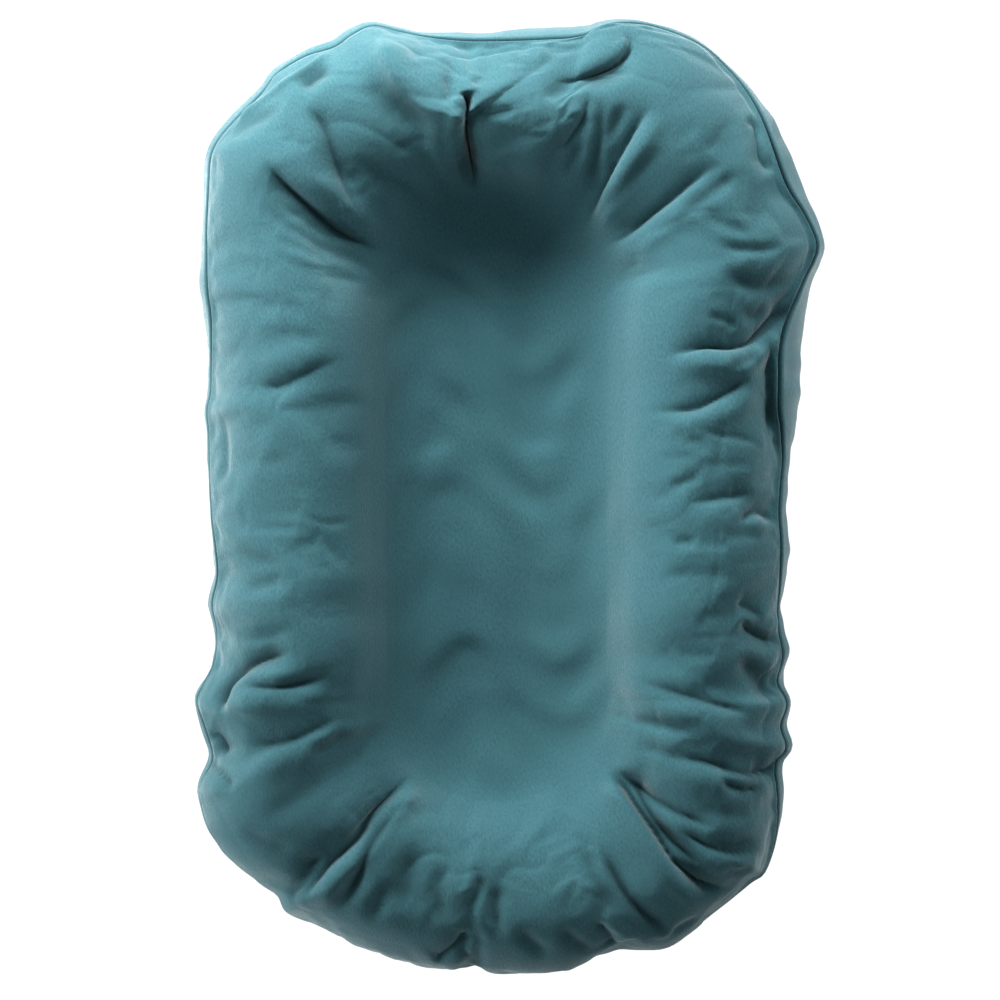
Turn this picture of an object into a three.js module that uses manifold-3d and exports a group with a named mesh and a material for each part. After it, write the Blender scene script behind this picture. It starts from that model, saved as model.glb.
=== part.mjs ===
// Infant lounger: a stuffed ring with a sling across its middle, in a removable cover that
// closes with a zip along its underside. Millimetres, +Z up, +Y towards the head end. The
// origin is on the floor, under the middle of the outline.
import * as THREE from 'three';
import { mergeVertices } from 'three/addons/utils/BufferGeometryUtils.js';
import Module from 'manifold-3d';

const wasm = await Module();
wasm.setup();

// Plan
const loungerLength = 740;
const loungerWidth = 490;
const spineOffset = -10; // the well's centre line lies left of the middle
const spineHalfLength = 150; // half of the well's straight part
const wellHalfWidth = 85; // centre line to the sling's seam

// Heights above the floor
const sideHeight = 128; // crown of the ring along its sides
const headHeight = 124;
const footHeight = 114;
const equatorHeight = 52; // where the ring is widest
const slingHeight = 48; // cover over the middle of the sling
const basePlaneHeight = 9; // underside of the cover between the ring's feet

// Section of the ring, measured across it
const crownInset = 68; // outline to crown
const floorInset = 46; // outline to the outer edge of the floor contact
const innerFootOutset = 48; // sling's seam to the inner edge of the floor contact
const basePlaneOutset = 14; // sling's seam to the edge of the raised underside

// Cloth layers, from the outside in
const coverThickness = 1.6;
const casingThickness = 1;
const layerGap = 0.4; // between one layer and the next
const seamGap = 0.3; // between two edges that meet in a seam

// Seams
const weltHeight = 2.4; // ridge where the cover's top meets its base
const weltProud = 1.2; // how far that ridge stands out
const casingSeamHeight = 2; // edge seam of the inner casing
const slingSeamWidth = 3; // bound seam that holds the sling in the ring
const slingSeamDepth = 3;
const slingThickness = 1.6; // two sheets of casing cloth, quilted together

// Zip, along the underside
const zipEndInset = 9; // end of the flat underside to the end of the tape
const tapeTail = 14; // end of the tape to the face of the stop
const stopLength = 3;
const stopThickness = 2.6;
const stopHalfWidth = 4.2;
const tapeWidth = 15;
const tapeThickness = 0.6;
const coilWidth = 2.4;
const coilThickness = 2.6;
const slotHalfWidth = 7; // opening in the base that the zip closes
const sliderLength = 11;
const sliderHalfWidth = 4.7;
const sliderPlate = 1.2;
const sliderPostHalfWidth = 0.5;
const sliderClearance = 0.3; // slider to tape, coil and pull
const crownBarWidth = 1.6; // bridge under the slider that carries the pull
const crownBarThickness = 1;
const crownHalfSpan = 4.2;
const crownLegLength = 1.2;
const pullThickness = 1.4;
const pullLength = 23;
const pullHalfWidth = 3.3;
const pullWindowHalfWidth = 1.9;
const pullWindowLength = 5.5;

// One overrun serves every cut and every join of overlapping pieces
const overrun = 2;

// Outline seen from above, counter-clockwise from the head corner on the right, as shares of
// half the width and half the length. The cloth is slack at the corners of the head end and
// bulges between its folds.
const outlineShares = [
  [1, 0.528], [0.936, 0.646], [0.882, 0.739], [0.805, 0.821], [0.713, 0.893],
  [0.608, 0.954], [0.362, 1], [0.225, 0.983], [-0.03, 0.977], [-0.254, 0.979],
  [-0.442, 0.994], [-0.665, 0.928], [-0.802, 0.851], [-0.952, 0.731], [-0.968, 0.659],
  [-0.974, 0.436], [-0.962, 0.141], [-0.943, -0.133], [-0.952, -0.221], [-0.943, -0.345],
  [-1, -0.432], [-0.952, -0.537], [-0.981, -0.606], [-0.952, -0.699], [-0.758, -0.823],
  [-0.573, -0.926], [-0.429, -0.958], [-0.222, -0.987], [-0.03, -1], [0.152, -0.996],
  [0.352, -0.947], [0.512, -0.939], [0.659, -0.869], [0.812, -0.787], [0.863, -0.638],
  [0.892, -0.474], [0.882, -0.322], [0.863, -0.24], [0.892, -0.116], [0.892, 0.099],
  [0.92, 0.288], [0.965, 0.448],
];

// Height of the edge seam on the outside of the ring, as an angle up from the widest line
const seamLiftSide = THREE.MathUtils.degToRad(16);
const seamLiftHead = THREE.MathUtils.degToRad(26);
const seamLiftFoot = THREE.MathUtils.degToRad(-14);

// Inside wall of the well: shares of the way from crown to sling seam, and of the height
// between sling and crown. Then the sling: shares of the well's half width and of that height.
const wellWallShares = [[0.32, 0.95], [0.62, 0.77], [0.85, 0.5], [1, 0.27]];
const slingShares = [[0.62, 0.075], [0.28, 0]];
const outerStepShares = [1 / 3, 2 / 3, 1]; // rows between the seam and the crown or the floor
const innerFootStepShares = [0.4, 0.8]; // rows between the floor and the sling's seam

// Main folds of the cover. Each runs across the ring: 'at' is a place on it as shares of half
// the width and half the length, 'across' where it starts and ends, with 0 at the edge seam,
// 1 at the crown and 2 at the sling's seam.
const foldDepth = 12;
const foldHalfWidth = 15;
const folds = [
  { at: [-0.566, 0.581], across: [0.5, 2], deepShare: 0.85, wideShare: 1 },
  { at: [-0.547, 0.735], across: [0.4, 1.6], deepShare: 0.6, wideShare: 0.8 },
  { at: [-0.13, 0.752], across: [0.2, 2.2], deepShare: 1.5, wideShare: 1 }, // head crease
  { at: [0.311, 0.895], across: [0, 1], deepShare: 0.8, wideShare: 0.9 },
  { at: [0.327, 0.688], across: [0.7, 2], deepShare: 0.8, wideShare: 1 },
  { at: [0.49, 0.6], across: [0.6, 2], deepShare: 0.7, wideShare: 0.9 },
  { at: [0.735, 0.309], across: [0, 1.4], deepShare: 1, wideShare: 0.9 },
  { at: [0.655, 0.18], across: [0.2, 1.3], deepShare: 0.6, wideShare: 0.8 },
  { at: [0.8, -0.293], across: [0, 0.9], deepShare: 0.6, wideShare: 0.8 },
  { at: [0.588, -0.43], across: [0.2, 1.8], deepShare: 0.6, wideShare: 0.9 },
  { at: [0.66, -0.58], across: [0, 1.4], deepShare: 0.65, wideShare: 0.8 },
  { at: [0.448, -0.703], across: [0, 2], deepShare: 1, wideShare: 0.9 },
  { at: [0.337, -0.84], across: [0, 1.7], deepShare: 0.65, wideShare: 0.9 },
  { at: [-0.12, -0.92], across: [0, 1.1], deepShare: 0.55, wideShare: 0.8 },
  { at: [-0.493, -0.733], across: [0, 1.9], deepShare: 1, wideShare: 0.9 },
  { at: [-0.684, -0.52], across: [0.3, 1.7], deepShare: 0.6, wideShare: 0.8 },
  { at: [-0.79, -0.333], across: [0, 1.4], deepShare: 1, wideShare: 0.9 },
];

// Mesh fineness
const outlineSteps = 420;
const leastShoulderShare = 0.75; // of a fold's half width, between a fold and its shoulders
const leastPlainShare = 1.5; // of it, between two other sections

// Depths below the outer face of the cover
const casingDepth = coverThickness + layerGap;
const fillDepth = casingDepth + casingThickness + layerGap;

// The zip ends a little inside the flat part of the underside
const tapeHalfLength = spineHalfLength + wellHalfWidth + basePlaneOutset - zipEndInset;
const zipHalfLength = tapeHalfLength - tapeTail; // middle to the face of either stop

// The ring follows a loop with two straight sides and two round ends
const halfWidth = loungerWidth / 2;
const halfLength = loungerLength / 2;
const loopRadius = (wellHalfWidth + halfWidth) / 2;
const sideRun = 2 * spineHalfLength;
const arcRun = Math.PI * loopRadius;
const loopRun = 2 * (sideRun + arcRun);

const outlineCurve = new THREE.CatmullRomCurve3(
  outlineShares.map(([x, y]) => new THREE.Vector3(x * halfWidth, y * halfLength, 0)),
  true,
);
const outline = outlineCurve.getPoints(outlineSteps);

// The ray that leaves the spine at a given run round the loop
function rayAt(run) {
  const at = THREE.MathUtils.euclideanModulo(run, loopRun);
  if (at < sideRun) return ray(at - spineHalfLength, 0);
  if (at < sideRun + arcRun) return ray(spineHalfLength, (at - sideRun) / loopRadius);
  if (at < 2 * sideRun + arcRun) return ray(spineHalfLength + sideRun + arcRun - at, Math.PI);
  return ray(-spineHalfLength, Math.PI + (at - 2 * sideRun - arcRun) / loopRadius);
}

function ray(spineY, angle) {
  return {
    x: spineOffset,
    y: spineY,
    dx: Math.cos(angle),
    dy: Math.sin(angle),
  };
}

// The run round the loop at which a place seen from above lies
function runOf([xShare, yShare]) {
  const x = xShare * halfWidth - spineOffset;
  const y = yShare * halfLength;
  if (y > spineHalfLength) return sideRun + loopRadius * Math.atan2(y - spineHalfLength, x);
  if (y < -spineHalfLength) {
    const angle = Math.atan2(y + spineHalfLength, x) + 2 * Math.PI;
    return 2 * sideRun + arcRun + loopRadius * (angle - Math.PI);
  }
  return x > 0 ? y + spineHalfLength : sideRun + arcRun + spineHalfLength - y;
}

function runGap(a, b) {
  const gap = THREE.MathUtils.euclideanModulo(a - b, loopRun);
  return Math.min(gap, loopRun - gap);
}

// How far the outline lies from the spine along a ray
function reachOf({ x, y, dx, dy }) {
  let reach = 0;
  for (let i = 0; i < outline.length - 1; i += 1) {
    const [p, q] = [outline[i], outline[i + 1]];
    const sideP = (p.y - y) * dx - (p.x - x) * dy;
    const sideQ = (q.y - y) * dx - (q.x - x) * dy;
    if (sideP * sideQ > 0 || sideP === sideQ) continue;
    const share = sideP / (sideP - sideQ);
    const crossX = p.x + (q.x - p.x) * share - x;
    const crossY = p.y + (q.y - p.y) * share - y;
    reach = Math.max(reach, crossX * dx + crossY * dy);
  }
  return reach;
}

// Sections: at the outline's furthest points, on each fold and its two shoulders, and then at
// the outline's other points
function stationRuns() {
  const runs = [];
  const keep = (least) => (run) => {
    if (runs.every((other) => runGap(other, run) > least)) {
      runs.push(THREE.MathUtils.euclideanModulo(run, loopRun));
    }
  };
  const isFurthest = (place) => place.some((share) => Math.abs(share) === 1);
  const shoulders = (side) => folds.map((fold) => runOf(fold.at) + side * fold.wideShare * foldHalfWidth);
  outlineShares.filter(isFurthest).map(runOf).forEach(keep(foldHalfWidth));
  folds.map((fold) => runOf(fold.at)).forEach(keep(leastShoulderShare * foldHalfWidth));
  [...shoulders(-1), ...shoulders(1)].forEach(keep(leastShoulderShare * foldHalfWidth));
  outlineShares.map(runOf).forEach(keep(leastPlainShare * foldHalfWidth));
  return runs.sort((a, b) => a - b);
}

// How far the folds draw the cloth in at a run round the loop and a place across the ring
function foldIn(run, across) {
  let inward = 0;
  for (const fold of folds) {
    const off = runGap(run, runOf(fold.at)) / (fold.wideShare * foldHalfWidth);
    const [from, to] = fold.across;
    if (off >= 1 || across <= from || across >= to) continue;
    const along = Math.sin((Math.PI * (across - from)) / (to - from));
    inward += fold.deepShare * foldDepth * along * (1 - off) ** 2;
  }
  return inward;
}

// A value that changes smoothly from the sides to the head end and to the foot end
function around({ dy }, side, head, foot) {
  return side + ((dy > 0 ? head : foot) - side) * dy * dy;
}

// Rows of the ring's section: distance from the spine, height, outward normal, and the place
// across the ring. The top runs from the edge seam to the middle of the sling, the base from
// the edge seam to the raised underside, the inside from the floor up to the sling's seam.
function sectionAt(run) {
  const at = rayAt(run);
  const reach = reachOf(at);
  const crownReach = reach - crownInset;
  const floorReach = reach - floorInset;
  const height = around(at, sideHeight, headHeight, footHeight);
  const lift = around(at, seamLiftSide, seamLiftHead, seamLiftFoot);
  const outer = (angle) => {
    const centre = angle > 0 ? crownReach : floorReach;
    const rise = angle > 0 ? height - equatorHeight : equatorHeight;
    const r = centre + (reach - centre) * Math.cos(angle);
    const z = equatorHeight + rise * Math.sin(angle);
    return row(r, z, Math.cos(angle) * rise, Math.sin(angle) * (reach - centre));
  };
  const seam = outer(lift);
  const towards = (angle) => outerStepShares.map((share) => ({
    ...outer(lift + (angle - lift) * share), across: share,
  }));
  const top = towards(Math.PI / 2);
  for (const [way, rise] of wellWallShares) {
    const r = crownReach + (wellHalfWidth - crownReach) * way;
    top.push({ ...row(r, slingHeight + (height - slingHeight) * rise), across: 1 + way });
  }
  for (const [out, rise] of slingShares) {
    top.push({ ...row(wellHalfWidth * out, slingHeight + (height - slingHeight) * rise), across: 3 - out });
  }
  slopeNormals(top, outerStepShares.length);
  const base = towards(-Math.PI / 2);
  base.push(row(wellHalfWidth + innerFootOutset, 0, 0, -1));
  base.push(row(wellHalfWidth + basePlaneOutset, basePlaneHeight, 0, -1));
  const slingSeam = top[outerStepShares.length + wellWallShares.length - 1];
  return { at, run, seam, top, base, slingSeam };
}

function row(r, z, nr = 0, nz = 1) {
  const length = Math.hypot(nr, nz);
  return { r, z, nr: nr / length, nz: nz / length };
}

// Rows past the crown take their normal from their neighbours; the last one faces up
function slopeNormals(rows, first) {
  for (let i = first; i < rows.length - 1; i += 1) {
    const [before, after] = [rows[i - 1], rows[i + 1]];
    const [nr, nz] = [after.z - before.z, before.r - after.r];
    Object.assign(rows[i], { nr: nr / Math.hypot(nr, nz), nz: nz / Math.hypot(nr, nz) });
  }
}

// A point of a section: 'depth' below the outer face, and 'along' it, which is up the outside
// of the ring and then inwards
function place(section, { r, z, nr, nz, across = 0 }, depth, along = 0) {
  const { x, y, dx, dy } = section.at;
  const inward = depth + foldIn(section.run, across);
  const reach = r - nr * inward - nz * along;
  return new THREE.Vector3(x + dx * reach, y + dy * reach, z - nz * inward + nr * along);
}

const sections = stationRuns().map(sectionAt);
const seamRow = 0;
const slingSeamRow = outerStepShares.length + wellWallShares.length;

// A grid row right round the ring
const ringRow = (pick) => sections.map(pick);

// Rows of the cover's and casing's top between two row numbers, at a depth. Row 0 is the edge
// seam, where the cloth stops short by 'edge'.
function topRows(depth, edge, last) {
  const rows = [ringRow((s) => place(s, s.seam, depth, edge))];
  for (let i = 0; i < last; i += 1) rows.push(ringRow((s) => place(s, s.top[i], depth)));
  return rows;
}

function baseRows(depth, edge, last) {
  const rows = [ringRow((s) => place(s, s.seam, depth, -edge))];
  for (let i = 0; i < last; i += 1) rows.push(ringRow((s) => place(s, { ...s.base[i], across: 0 }, depth)));
  return rows;
}

// Triangles of one ring row's inside, as a strip from its +Y end to its -Y end
function capTriangles(points) {
  const count = points.length;
  const byY = points.map((p, i) => i).sort((a, b) => points[b].y - points[a].y);
  const [start, end] = [byY[0], byY[count - 1]];
  const chain = (step) => {
    const found = [start];
    while (found[found.length - 1] !== end) {
      found.push((found[found.length - 1] + step + count) % count);
    }
    return found;
  };
  const [left, right] = [chain(1), chain(-1)];
  const triangles = [];
  let [i, j] = [0, 0];
  while (i < left.length - 1 || j < right.length - 1) {
    const leftNext = i < left.length - 1 ? points[left[i + 1]].y : -Infinity;
    const rightNext = j < right.length - 1 ? points[right[j + 1]].y : -Infinity;
    const corners = leftNext >= rightNext
      ? [left[i], left[(i += 1)], right[j]]
      : [left[i], right[j + 1], right[j++]];
    if (new Set(corners).size === 3) triangles.push(corners);
  }
  return triangles;
}

// A solid between an upper and a lower face. Each face is a list of rows, which run right round
// the ring, from the outside inwards. The faces are cut into triangles alike, so that layers
// keep their gaps. Its middle is open, as a ring's is, or filled across.
function clothSolid(upper, lower, middleOpen) {
  const rows = [...new Set([...upper, ...lower])];
  const count = upper[0].length;
  const triangles = [];
  const band = (from, to, onLower) => {
    const [near, far] = [rows.indexOf(from) * count, rows.indexOf(to) * count];
    for (let i = 0; i < count; i += 1) {
      const k = (i + 1) % count;
      const [a, b, c, d] = [near + i, near + k, far + k, far + i];
      if (onLower) triangles.push([a, b, d], [b, c, d]);
      else triangles.push([a, b, c], [a, c, d]);
    }
  };
  for (let j = 1; j < upper.length; j += 1) band(upper[j - 1], upper[j], false);
  for (let j = lower.length - 1; j > 0; j -= 1) band(lower[j], lower[j - 1], true);
  if (lower[0] !== upper[0]) band(lower[0], upper[0], false);
  const [topEnd, lowEnd] = [upper[upper.length - 1], lower[lower.length - 1]];
  if (middleOpen) band(topEnd, lowEnd, false);
  else {
    const across = capTriangles(topEnd);
    triangles.push(...across.map((corners) => corners.map((i) => i + rows.indexOf(topEnd) * count)));
    triangles.push(...across.map(([a, b, c]) => [a, c, b].map((i) => i + rows.indexOf(lowEnd) * count)));
  }
  const geometry = new THREE.BufferGeometry();
  geometry.setFromPoints(rows.flat());
  geometry.setIndex(triangles.flat());
  return geometry;
}

function toSolid(geometry) {
  const bare = geometry.clone();
  bare.deleteAttribute('normal');
  bare.deleteAttribute('uv');
  const merged = mergeVertices(bare);
  return new wasm.Manifold(new wasm.Mesh({
    numProp: 3,
    vertProperties: new Float32Array(merged.attributes.position.array),
    triVerts: new Uint32Array(merged.index.array),
  }));
}

function toGeometry(solid) {
  const mesh = solid.getMesh();
  const geometry = new THREE.BufferGeometry();
  geometry.setAttribute('position', new THREE.BufferAttribute(mesh.vertProperties, 3));
  geometry.setIndex(new THREE.BufferAttribute(mesh.triVerts, 1));
  return geometry;
}

// A box between two corners
function box(low, high) {
  const size = high.map((value, i) => value - low[i]);
  const middle = high.map((value, i) => (value + low[i]) / 2);
  return new THREE.BoxGeometry(...size).translate(...middle);
}

// Materials
const fabric = (color, roughness = 0.95) => new THREE.MeshStandardMaterial({ color, roughness, metalness: 0 });
const coverCloth = fabric('#457d86');
const casingCloth = fabric('#ece8de');
const bindingTape = fabric('#d9d4c8');
const fibre = fabric('#f6f5f2', 1);
const zipTapeCloth = fabric('#3f747c');
const zipNylon = fabric('#3c6f78', 0.5);
const zipMetal = new THREE.MeshStandardMaterial({ color: '#b9bcbd', roughness: 0.35, metalness: 1 });

const lounger = new THREE.Group();

function addPiece(name, geometry, material) {
  const mesh = new THREE.Mesh(geometry, material);
  mesh.name = name;
  lounger.add(mesh);
}

// A ridge or binding that runs round a seam: outer and inner depth, and half its height
function seamRing(pickRow, [outer, inner], half) {
  const face = (depth) => [-half, half].map((along) => ringRow((s) => place(s, pickRow(s), depth, along)));
  return clothSolid(face(outer), face(inner), true);
}

// Cover: top panel, from the edge seam over the ring and down across the sling
function coverTop() {
  const edge = weltHeight / 2 + seamGap;
  const last = slingSeamRow + slingShares.length;
  return clothSolid(topRows(0, edge, last), topRows(coverThickness, edge, last), false);
}

// Cover: ridge of the edge seam, as thick as the cloth and standing a little proud of it
function coverEdgeWelt() {
  return seamRing((s) => s.seam, [-weltProud, coverThickness], weltHeight / 2);
}

// Cover: base panel, cut by the zip's opening and parted along the zip's line
function coverBaseHalf(side) {
  const edge = weltHeight / 2 + seamGap;
  const rowCount = outerStepShares.length + 2;
  const whole = toSolid(clothSolid(
    baseRows(coverThickness, edge, rowCount), baseRows(0, edge, rowCount), false,
  ));
  const opening = toSolid(box(
    [spineOffset - slotHalfWidth, -zipHalfLength - stopLength - seamGap, -overrun],
    [spineOffset + slotHalfWidth, zipHalfLength + stopLength + seamGap, basePlaneHeight + coverThickness + overrun],
  ));
  const seam = spineOffset + (side * seamGap) / 2;
  const far = spineOffset + side * loungerWidth;
  const half = toSolid(box(
    [Math.min(seam, far), -loungerLength, -overrun],
    [Math.max(seam, far), loungerLength, sideHeight],
  ));
  return toGeometry(whole.subtract(opening).intersect(half));
}

// Inner casing: top sheet, from its edge seam over the ring to the sling's seam
function casingTop() {
  const edge = casingSeamHeight / 2 + seamGap;
  const stop = slingSeamWidth / 2 + seamGap;
  const rowsAt = (depth) => [
    ...topRows(depth, edge, slingSeamRow - 1),
    ringRow((s) => place(s, s.slingSeam, depth, -stop)),
  ];
  return clothSolid(rowsAt(casingDepth), rowsAt(casingDepth + casingThickness), true);
}

function casingEdgeSeam() {
  return seamRing((s) => s.seam, [casingDepth, casingDepth + casingThickness], casingSeamHeight / 2);
}

// Bound seam where the casing's two sheets and the sling meet
function slingSeam() {
  return seamRing((s) => s.slingSeam, [casingDepth, casingDepth + slingSeamDepth], slingSeamWidth / 2);
}

// Rows on the inside of the ring, from the floor contact up to just under the sling's seam
function innerFootRows(depth) {
  return innerFootStepShares.map((share) => ringRow((s) => {
    const rim = place(s, s.slingSeam, casingDepth + slingSeamDepth + seamGap);
    const rimReach = Math.hypot(rim.x - s.at.x, rim.y - s.at.y);
    const footReach = wellHalfWidth + innerFootOutset;
    const angle = (share * Math.PI) / 2;
    const r = footReach - (footReach - rimReach) * Math.sin(angle);
    const z = casingDepth + (rim.z - casingDepth) * (1 - Math.cos(angle));
    const bare = row(r, z, -Math.sin(angle) * (rim.z - casingDepth), -Math.cos(angle) * (footReach - rimReach));
    return place(s, bare, depth - casingDepth);
  }));
}

// Inner casing: base sheet, from its edge seam under the ring and up to the sling's seam
function casingBase() {
  const edge = casingSeamHeight / 2 + seamGap;
  const underSeam = casingDepth + slingSeamDepth + seamGap;
  const half = casingThickness / 2;
  const rowsAt = (depth, along) => [
    ...baseRows(depth, edge, outerStepShares.length + 1),
    ...innerFootRows(depth),
    ringRow((s) => place(s, s.slingSeam, underSeam, along)),
  ];
  return clothSolid(rowsAt(casingDepth + casingThickness, -half), rowsAt(casingDepth, half), true);
}

// Sling: the oval of doubled casing cloth that hangs across the well
function slingPanel() {
  const start = slingSeamWidth / 2 + seamGap;
  const rowsAt = (depth) => [
    ringRow((s) => place(s, s.slingSeam, depth, start)),
    ...slingShares.map((share, i) => ringRow((s) => place(s, s.top[slingSeamRow + i], depth))),
  ];
  return clothSolid(rowsAt(casingDepth), rowsAt(casingDepth + slingThickness), false);
}

// Fibre filling, packed in four runs that meet at the ends of the straight sides
function fillRing() {
  const beside = slingSeamWidth / 2 + seamGap + casingThickness;
  const underSeam = casingDepth + slingSeamDepth + seamGap;
  const upper = [
    ...topRows(fillDepth, 0, slingSeamRow - 1),
    ringRow((s) => place(s, s.slingSeam, underSeam, -beside)),
  ];
  const lower = [
    upper[seamRow],
    ...baseRows(fillDepth, 0, outerStepShares.length + 1).slice(1),
    ...innerFootRows(fillDepth),
  ];
  return toSolid(clothSolid(upper, lower, true));
}

function fillRuns() {
  const ring = fillRing();
  const end = spineHalfLength;
  const cut = (low, high) => toGeometry(ring.intersect(toSolid(box(low, high))));
  const [left, right] = [spineOffset - loungerWidth, spineOffset + loungerWidth];
  const [floor, above] = [-overrun, sideHeight + overrun];
  return {
    head: cut([left, end + seamGap / 2, floor], [right, loungerLength, above]),
    foot: cut([left, -loungerLength, floor], [right, -end - seamGap / 2, above]),
    left: cut([left, -end + seamGap / 2, floor], [spineOffset, end - seamGap / 2, above]),
    right: cut([spineOffset, -end + seamGap / 2, floor], [right, end - seamGap / 2, above]),
  };
}

// Zip levels, from the floor side up: coil, tape, and the slider's plates round them
const coilTop = basePlaneHeight + coverThickness;
const tapeBottom = coilTop + seamGap;
const tapeTop = tapeBottom + tapeThickness;
const coilBottom = coilTop - coilThickness;
const sliderInnerFloor = coilBottom - sliderClearance;
const sliderBottom = sliderInnerFloor - sliderPlate;
const sliderInnerRoof = tapeTop + sliderClearance;
const sliderTop = sliderInnerRoof + sliderPlate;
const rowStart = sliderPostHalfWidth + sliderClearance; // zip line to the inner edge of coil and tape
const crownOpening = pullThickness + 2 * sliderClearance;
const pullAxisHeight = sliderBottom - crownOpening / 2;
const sliderRestY = zipHalfLength - seamGap - sliderLength / 2;

// A box on one side of the zip's line
function besideZip(side, [near, far], [fromY, toY], [bottom, top]) {
  const [a, b] = [spineOffset + side * near, spineOffset + side * far];
  return box([Math.min(a, b), fromY, bottom], [Math.max(a, b), toY, top]);
}

const zipTape = (side) => besideZip(
  side, [rowStart, rowStart + tapeWidth], [-tapeHalfLength, tapeHalfLength], [tapeBottom, tapeTop],
);
const zipCoil = (side) => besideZip(
  side, [rowStart, rowStart + coilWidth], [seamGap - zipHalfLength, zipHalfLength - seamGap], [coilBottom, coilTop],
);
const zipTopStop = (side) => besideZip(
  side, [rowStart, stopHalfWidth], [zipHalfLength, zipHalfLength + stopLength], [coilTop - stopThickness, coilTop],
);

function zipBottomStop() {
  return box(
    [spineOffset - stopHalfWidth, -zipHalfLength - stopLength, coilTop - stopThickness],
    [spineOffset + stopHalfWidth, -zipHalfLength, coilTop],
  );
}

// Slider: two plates joined by a post, lips that wrap the coils, and a crown bar below
function zipSlider() {
  const lip = rowStart + coilWidth + sliderClearance;
  const lipTop = tapeBottom - sliderClearance;
  const half = [
    [0, sliderBottom], [sliderHalfWidth, sliderBottom], [sliderHalfWidth, lipTop], [lip, lipTop],
    [lip, sliderInnerFloor], [sliderPostHalfWidth, sliderInnerFloor], [sliderPostHalfWidth, sliderInnerRoof],
    [sliderHalfWidth, sliderInnerRoof], [sliderHalfWidth, sliderTop], [0, sliderTop],
  ];
  const mirrored = half.slice(1, -1).reverse().map(([x, z]) => [-x, z]);
  const outlineOf = new THREE.Shape([...half, ...mirrored].map(([x, z]) => new THREE.Vector2(x, z)));
  const body = new THREE.ExtrudeGeometry(outlineOf, { depth: sliderLength, bevelEnabled: false })
    .rotateX(Math.PI / 2)
    .translate(spineOffset, sliderRestY + sliderLength / 2, 0);
  const crownBottom = sliderBottom - crownOpening - crownBarThickness;
  const crown = toSolid(box(
    [spineOffset - crownBarWidth / 2, sliderRestY - crownHalfSpan, crownBottom],
    [spineOffset + crownBarWidth / 2, sliderRestY + crownHalfSpan, sliderBottom + sliderPlate / 2],
  ));
  const legInside = crownHalfSpan - crownLegLength;
  const gap = toSolid(box(
    [spineOffset - crownBarWidth, sliderRestY - legInside, crownBottom + crownBarThickness],
    [spineOffset + crownBarWidth, sliderRestY + legInside, sliderBottom],
  ));
  return toGeometry(toSolid(body).add(crown.subtract(gap)));
}

// Pull: a tab with a window, hung on a round bar inside the slider's crown
function zipPull() {
  const tab = new THREE.Shape();
  tab.moveTo(-pullHalfWidth, 0);
  tab.lineTo(-pullHalfWidth, pullHalfWidth - pullLength);
  tab.absarc(0, pullHalfWidth - pullLength, pullHalfWidth, Math.PI, 2 * Math.PI, false);
  tab.lineTo(pullHalfWidth, 0);
  tab.lineTo(pullWindowHalfWidth, 0);
  tab.lineTo(pullWindowHalfWidth, -pullWindowLength);
  tab.lineTo(-pullWindowHalfWidth, -pullWindowLength);
  tab.lineTo(-pullWindowHalfWidth, 0);
  const plate = new THREE.ExtrudeGeometry(tab, { depth: pullThickness, bevelEnabled: false, curveSegments: 10 })
    .translate(0, 0, -pullThickness / 2);
  const bar = new THREE.CylinderGeometry(pullThickness / 2, pullThickness / 2, 2 * pullHalfWidth, 12)
    .rotateZ(Math.PI / 2);
  return toGeometry(toSolid(plate).add(toSolid(bar))).translate(spineOffset, sliderRestY, pullAxisHeight);
}

addPiece('cover_top', coverTop(), coverCloth);
addPiece('cover_edge_welt', coverEdgeWelt(), coverCloth);
addPiece('casing_top', casingTop(), casingCloth);
addPiece('casing_base', casingBase(), casingCloth);
addPiece('casing_edge_seam', casingEdgeSeam(), bindingTape);
addPiece('sling_panel', slingPanel(), casingCloth);
addPiece('sling_seam', slingSeam(), bindingTape);
for (const [name, geometry] of Object.entries(fillRuns())) addPiece(`fill_${name}`, geometry, fibre);
for (const [name, side] of [['left', -1], ['right', 1]]) {
  addPiece(`cover_base_${name}`, coverBaseHalf(side), coverCloth);
  addPiece(`zip_tape_${name}`, zipTape(side), zipTapeCloth);
  addPiece(`zip_coil_${name}`, zipCoil(side), zipNylon);
  addPiece(`zip_top_stop_${name}`, zipTopStop(side), zipMetal);
}
addPiece('zip_bottom_stop', zipBottomStop(), zipMetal);
addPiece('zip_slider', zipSlider(), zipMetal);
addPiece('zip_pull', zipPull(), zipMetal);

export default lounger;
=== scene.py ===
import math

import bpy
import numpy as np
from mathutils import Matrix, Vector


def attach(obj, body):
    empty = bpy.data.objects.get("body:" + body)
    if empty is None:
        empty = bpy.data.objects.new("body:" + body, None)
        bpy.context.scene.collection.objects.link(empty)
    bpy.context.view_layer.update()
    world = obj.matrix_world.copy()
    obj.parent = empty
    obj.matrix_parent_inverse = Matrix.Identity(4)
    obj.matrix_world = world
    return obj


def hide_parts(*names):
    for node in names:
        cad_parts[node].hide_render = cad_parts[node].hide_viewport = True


# An infant lounger: a slack knit cover over a stuffed ring, with a sling across its middle.
# Lengths are in metres. +Y is the head end.
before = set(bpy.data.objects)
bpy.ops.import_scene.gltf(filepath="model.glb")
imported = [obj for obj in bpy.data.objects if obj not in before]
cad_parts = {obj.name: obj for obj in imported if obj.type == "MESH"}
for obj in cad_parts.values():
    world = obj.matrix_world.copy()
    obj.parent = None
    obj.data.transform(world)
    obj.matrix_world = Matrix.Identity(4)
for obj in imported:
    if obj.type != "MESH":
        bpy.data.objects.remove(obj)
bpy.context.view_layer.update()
print("frame loaded,", len(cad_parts), "nodes")

mm = 0.001
tiny = 1e-12  # keeps a division by nothing from failing

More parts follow.
